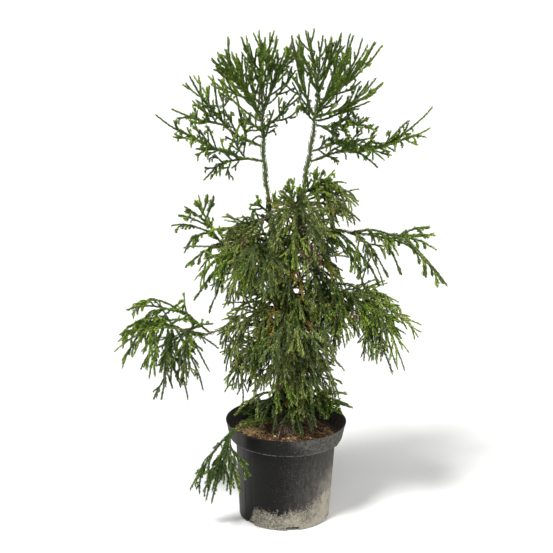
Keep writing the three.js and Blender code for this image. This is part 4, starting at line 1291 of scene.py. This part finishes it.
def foot_shreds():
    """Shreds of bark that lean on the trunk's foot: bent tubes from its side down to the soil."""
    count, rings = 40, 6
    turn = np.radians(RNG.normal(278, 38, count))
    way = np.stack([np.cos(turn), np.sin(turn), 0 * turn], -1)
    far = RNG.uniform(14, 32, count)[:, None]
    high = (*TRUNK["foot"], SOIL["height"]) + way * 8 + RNG.uniform(6, 34, count)[:, None] * UP
    low = (*TRUNK["foot"], 0) + way * far
    low[:, 2] = soil_height(low[:, 0], low[:, 1]) + 1.5
    low[:, :2] += RNG.normal(0, 5, (count, 2))
    curve = np.stack([high, (high + low) / 2 - 3 * way, low], axis=1)
    owner, step = ragged(np.full(count, rings))
    share = step / (rings - 1)
    radius = RNG.uniform(0.5, 1.1, count)[owner] * np.sin(np.pi * (0.2 + 0.7 * share))
    return bent_tubes(curve[owner], share, radius, 4)


# ---------------------------------------------------------------- foliage pieces


def tints_of(cords, moods, owner, share, habit):
    """
    Each needle's tint, dealt out by spray: a score from the mass's mood, which is partly
    painted light and shade, the spray's own chance, how far out it is, which paints shade that
    deepens towards the heart of the plant, and how near its twig's tip, cut into five greens.
    Most inner sprays of what weeps or hangs are more olive, and a few are sage, khaki, amber or
    rust instead. Every needle strays a little from its spray, partly in its own tone and partly
    as a speckle of painted light and shade, and less on what grows upright.
    """
    tip, seed = cords.curve[:, 2], cords.seed[owner]
    far = np.hypot(tip[:, 0], tip[:, 1])
    out = far / USUAL_REACH
    # painted shade: lower scores towards the trunk's axis, and moods that paint the crown and front
    # lighter and what hangs low or at the back darker
    base = moods[cords.mass] + 0.85 * (chance(cords.spray, 3, 9) - 0.5) + 0.25 * (out - 0.6)
    to_tip = cords.length[owner] * (1 - share)
    score = base[owner] + 0.2 * smooth_step(30, 4, to_tip) + 0.35 * (to_tip < 6)
    own = chance(seed, np.round(share * 997), 6)
    smooth = habit in ("brush", "fan", "lateral")
    # each needle's own chance: partly its own tone, partly a speckle of painted light and shade
    score = score + (0.6 if smooth else 1.1) * (own - 0.5)
    score = score + (0.5 if smooth else 0.2) * (chance(cords.seed, 6, 2) - 0.5)[owner]
    kind = SHADE - np.digitize(score, [-0.35, 0.0, 0.38, 0.72])
    if habit == "catkins":
        # the palest catkin tint, a painted highlight, goes on one catkin needle in five at random
        return np.where(cords.level[owner] == 0, DEEP, CATKIN + np.digitize(own, [0.4, 0.8]))
    if habit == "dry":
        return np.where(moods[cords.mass][owner] > 0, AMBER, RUST)
    if habit not in ("weeping", "hanging"):
        return kind
    pure = chance(cords.spray, 7, 4) < 0.15 + 0.55 * smooth_step(0.6, 1.3, out)
    kind = np.where(pure[owner], kind, kind + OLIVE)
    odd = chance(cords.spray, 5, 4)[owner]
    kind = np.where((odd < 0.25) & (kind > BRIGHT + OLIVE), SAGE, kind)
    inside = far[owner] < INSIDE
    dull = (odd > 0.94) & (out[owner] < 0.9) & (chance(seed, 0, 9) < 0.5)
    kind = np.where(dull, KHAKI, kind)
    kind = np.where(inside & (odd > 0.978), AMBER, kind)
    return np.where(inside & (odd > 0.988), RUST, kind)


def foliage_pieces(limbs):
    """Twigs and needles of every region, grown mass by mass."""
    finishes = [leaf_finish(name, code) for name, code in LEAF_TINTS.items()]
    # twig bark: a dark green-brown, made darker still as painted shade in the gaps between the
    # needles
    twig = bark_finish("twig_bark_shaded", "2f3d1c", "4c5c2b", "5d4526")
    masses = all_masses()
    stems = {row.node: Limb(row.stem_on(limbs), **STEM) for row in masses if row.node}
    limbs = {**limbs, **stems}
    regions = np.array([row.region for row in masses])
    moods = np.array([row.mood for row in masses])
    clubs = np.array([CLUBS.get(row.on, 0) * (row.habit in ("arc", "fan")) for row in masses])
    cords = {}
    for habit in HABITS:
        own = np.array([i for i, row in enumerate(masses) if row.habit == habit])
        cords[habit] = mass_cords([masses[i] for i in own], own, limbs)
    for region, nodes in MASSES.items():
        wood, leaves = Shape(), Shape()
        for habit, every in cords.items():
            some = every.only(regions[every.mass] == region)
            if not len(some.mass):
                continue
            points, walls, ends = cord_tubes(some, CORES[habit], clubs)
            wood.add(swayed(points), walls, ends)
            points, faces, owner, share = cord_needles(some, CORES[habit], NEEDLES[habit], clubs)
            kinds = tints_of(some, moods, owner, share, habit)
            leaves.add(swayed(points), faces, finish=face_tints(kinds), smooth=False)
        wood.piece(f"twigs_{region}", [twig], "foliage", nodes)
        leaves.piece(f"needles_{region}", finishes, "foliage", nodes)
    limb_needles(limbs, finishes)


def limb_needles(limbs, finishes):
    """Long needles that overlap up the green leaders and boughs, light and dark in turn."""
    shape, low = Shape(), {name: 0.0 for name in LEADERS} | {name: 0.05 for name in BOUGHS}
    for name, first in low.items():
        limb = limbs[name]
        place = np.arange(int((1 - first) * limb.length / LIMB_NEEDLE.apart))
        share = first + (1 - first) * (place + 0.5) / len(place)
        along = share * limb.length
        rusty = np.sin(along / 17 + len(place)) + 0.5 * np.sin(along / 5) > 1.15
        kept = chance(len(place), place, 2) < np.where(rusty, 0.45, 0.92)
        place, share, rusty = place[kept], share[kept], rusty[kept]
        curve = np.broadcast_to(limb.curve, (len(share), 3, 3))
        way, out = round_about(curve, share, GOLDEN * place)
        size = LIMB_NEEDLE.length * (0.8 + 0.4 * chance(3.0, place, 8))
        bark = limb.radius_at(share) + STAND.get(name, SUNK)
        points = needles_on(point_on(curve, share), way, out, bark, size, LIMB_NEEDLE)
        shade = chance(8.0, place, 3)
        tints = np.select([rusty & (shade < 0.4), shade < 0.25, shade < 0.55, shade < 0.85],
                          [RUST, BRIGHT, MID, DEEP], SHADE)
        tints = np.where((name in LEADERS) & (tints < OLIVE), tints + OLIVE, tints)
        shape.add(swayed(points), needle_faces(len(points)), finish=face_tints(tints), smooth=False)
    shape.piece("needles_limbs", finishes, "foliage", low)


# ---------------------------------------------------------------- camera, light and floor


def set_camera():
    """Level with the crown in front of the plant, looking down at the pot."""
    camera = bpy.data.objects.new("camera", bpy.data.cameras.new("camera"))
    bpy.context.scene.collection.objects.link(camera)
    camera.data.lens = CAMERA["focal"] / CAMERA["width"] * camera.data.sensor_width
    camera.matrix_world = (
        Matrix.Translation(CAMERA["place"])
        @ Matrix.Rotation(np.radians(90 - CAMERA["down"]), 4, "X")
        @ Matrix.Rotation(np.radians(CAMERA["roll"]), 4, "Z"))
    bpy.context.scene.camera = camera


def set_lights():
    """A broad soft sun from the upper left, two weaker ones, and a white sky."""
    for name, azimuth, height, width, power in LIGHTS:
        lamp = bpy.data.objects.new(name, bpy.data.lights.new(name, "SUN"))
        bpy.context.scene.collection.objects.link(lamp)
        lamp.data.angle, lamp.data.energy = np.radians(width), power
        lamp.rotation_euler = (np.radians(90 - height), 0, np.radians(azimuth + 90))
    world = bpy.data.worlds.new("sky")
    world.use_nodes = True
    world.node_tree.nodes["Background"].inputs["Color"].default_value = (1, 1, 1, 1)
    world.node_tree.nodes["Background"].inputs["Strength"].default_value = SKY
    bpy.context.scene.world = world
    bpy.context.scene.view_settings.view_transform = "Standard"


def lay_floor():
    """A wide pale disc under the pot."""
    angle = np.arange(FLOOR["sides"]) * TAU / FLOOR["sides"]
    ring = FLOOR["radius"] * np.stack([np.cos(angle), np.sin(angle), 0 * angle], -1)
    mesh = bpy.data.meshes.new("floor")
    mesh.from_pydata(ring.tolist(), [], [list(range(FLOOR["sides"]))])
    paint = Finish("floor_paint", roughness=0.9)
    paint.set(Base_Color=paint.mix(paint.noise(3, 2), "f0f0ee", "f4f4f3"))
    mesh.materials.append(paint.material)
    floor = bpy.data.objects.new("floor", mesh)
    bpy.context.scene.collection.objects.link(floor)


# ---------------------------------------------------------------- the plant in its pot

limbs = main_limbs()
pot_piece()
soil_pieces()
limb_pieces(limbs)
foliage_pieces(limbs)
set_camera()
set_lights()
lay_floor()
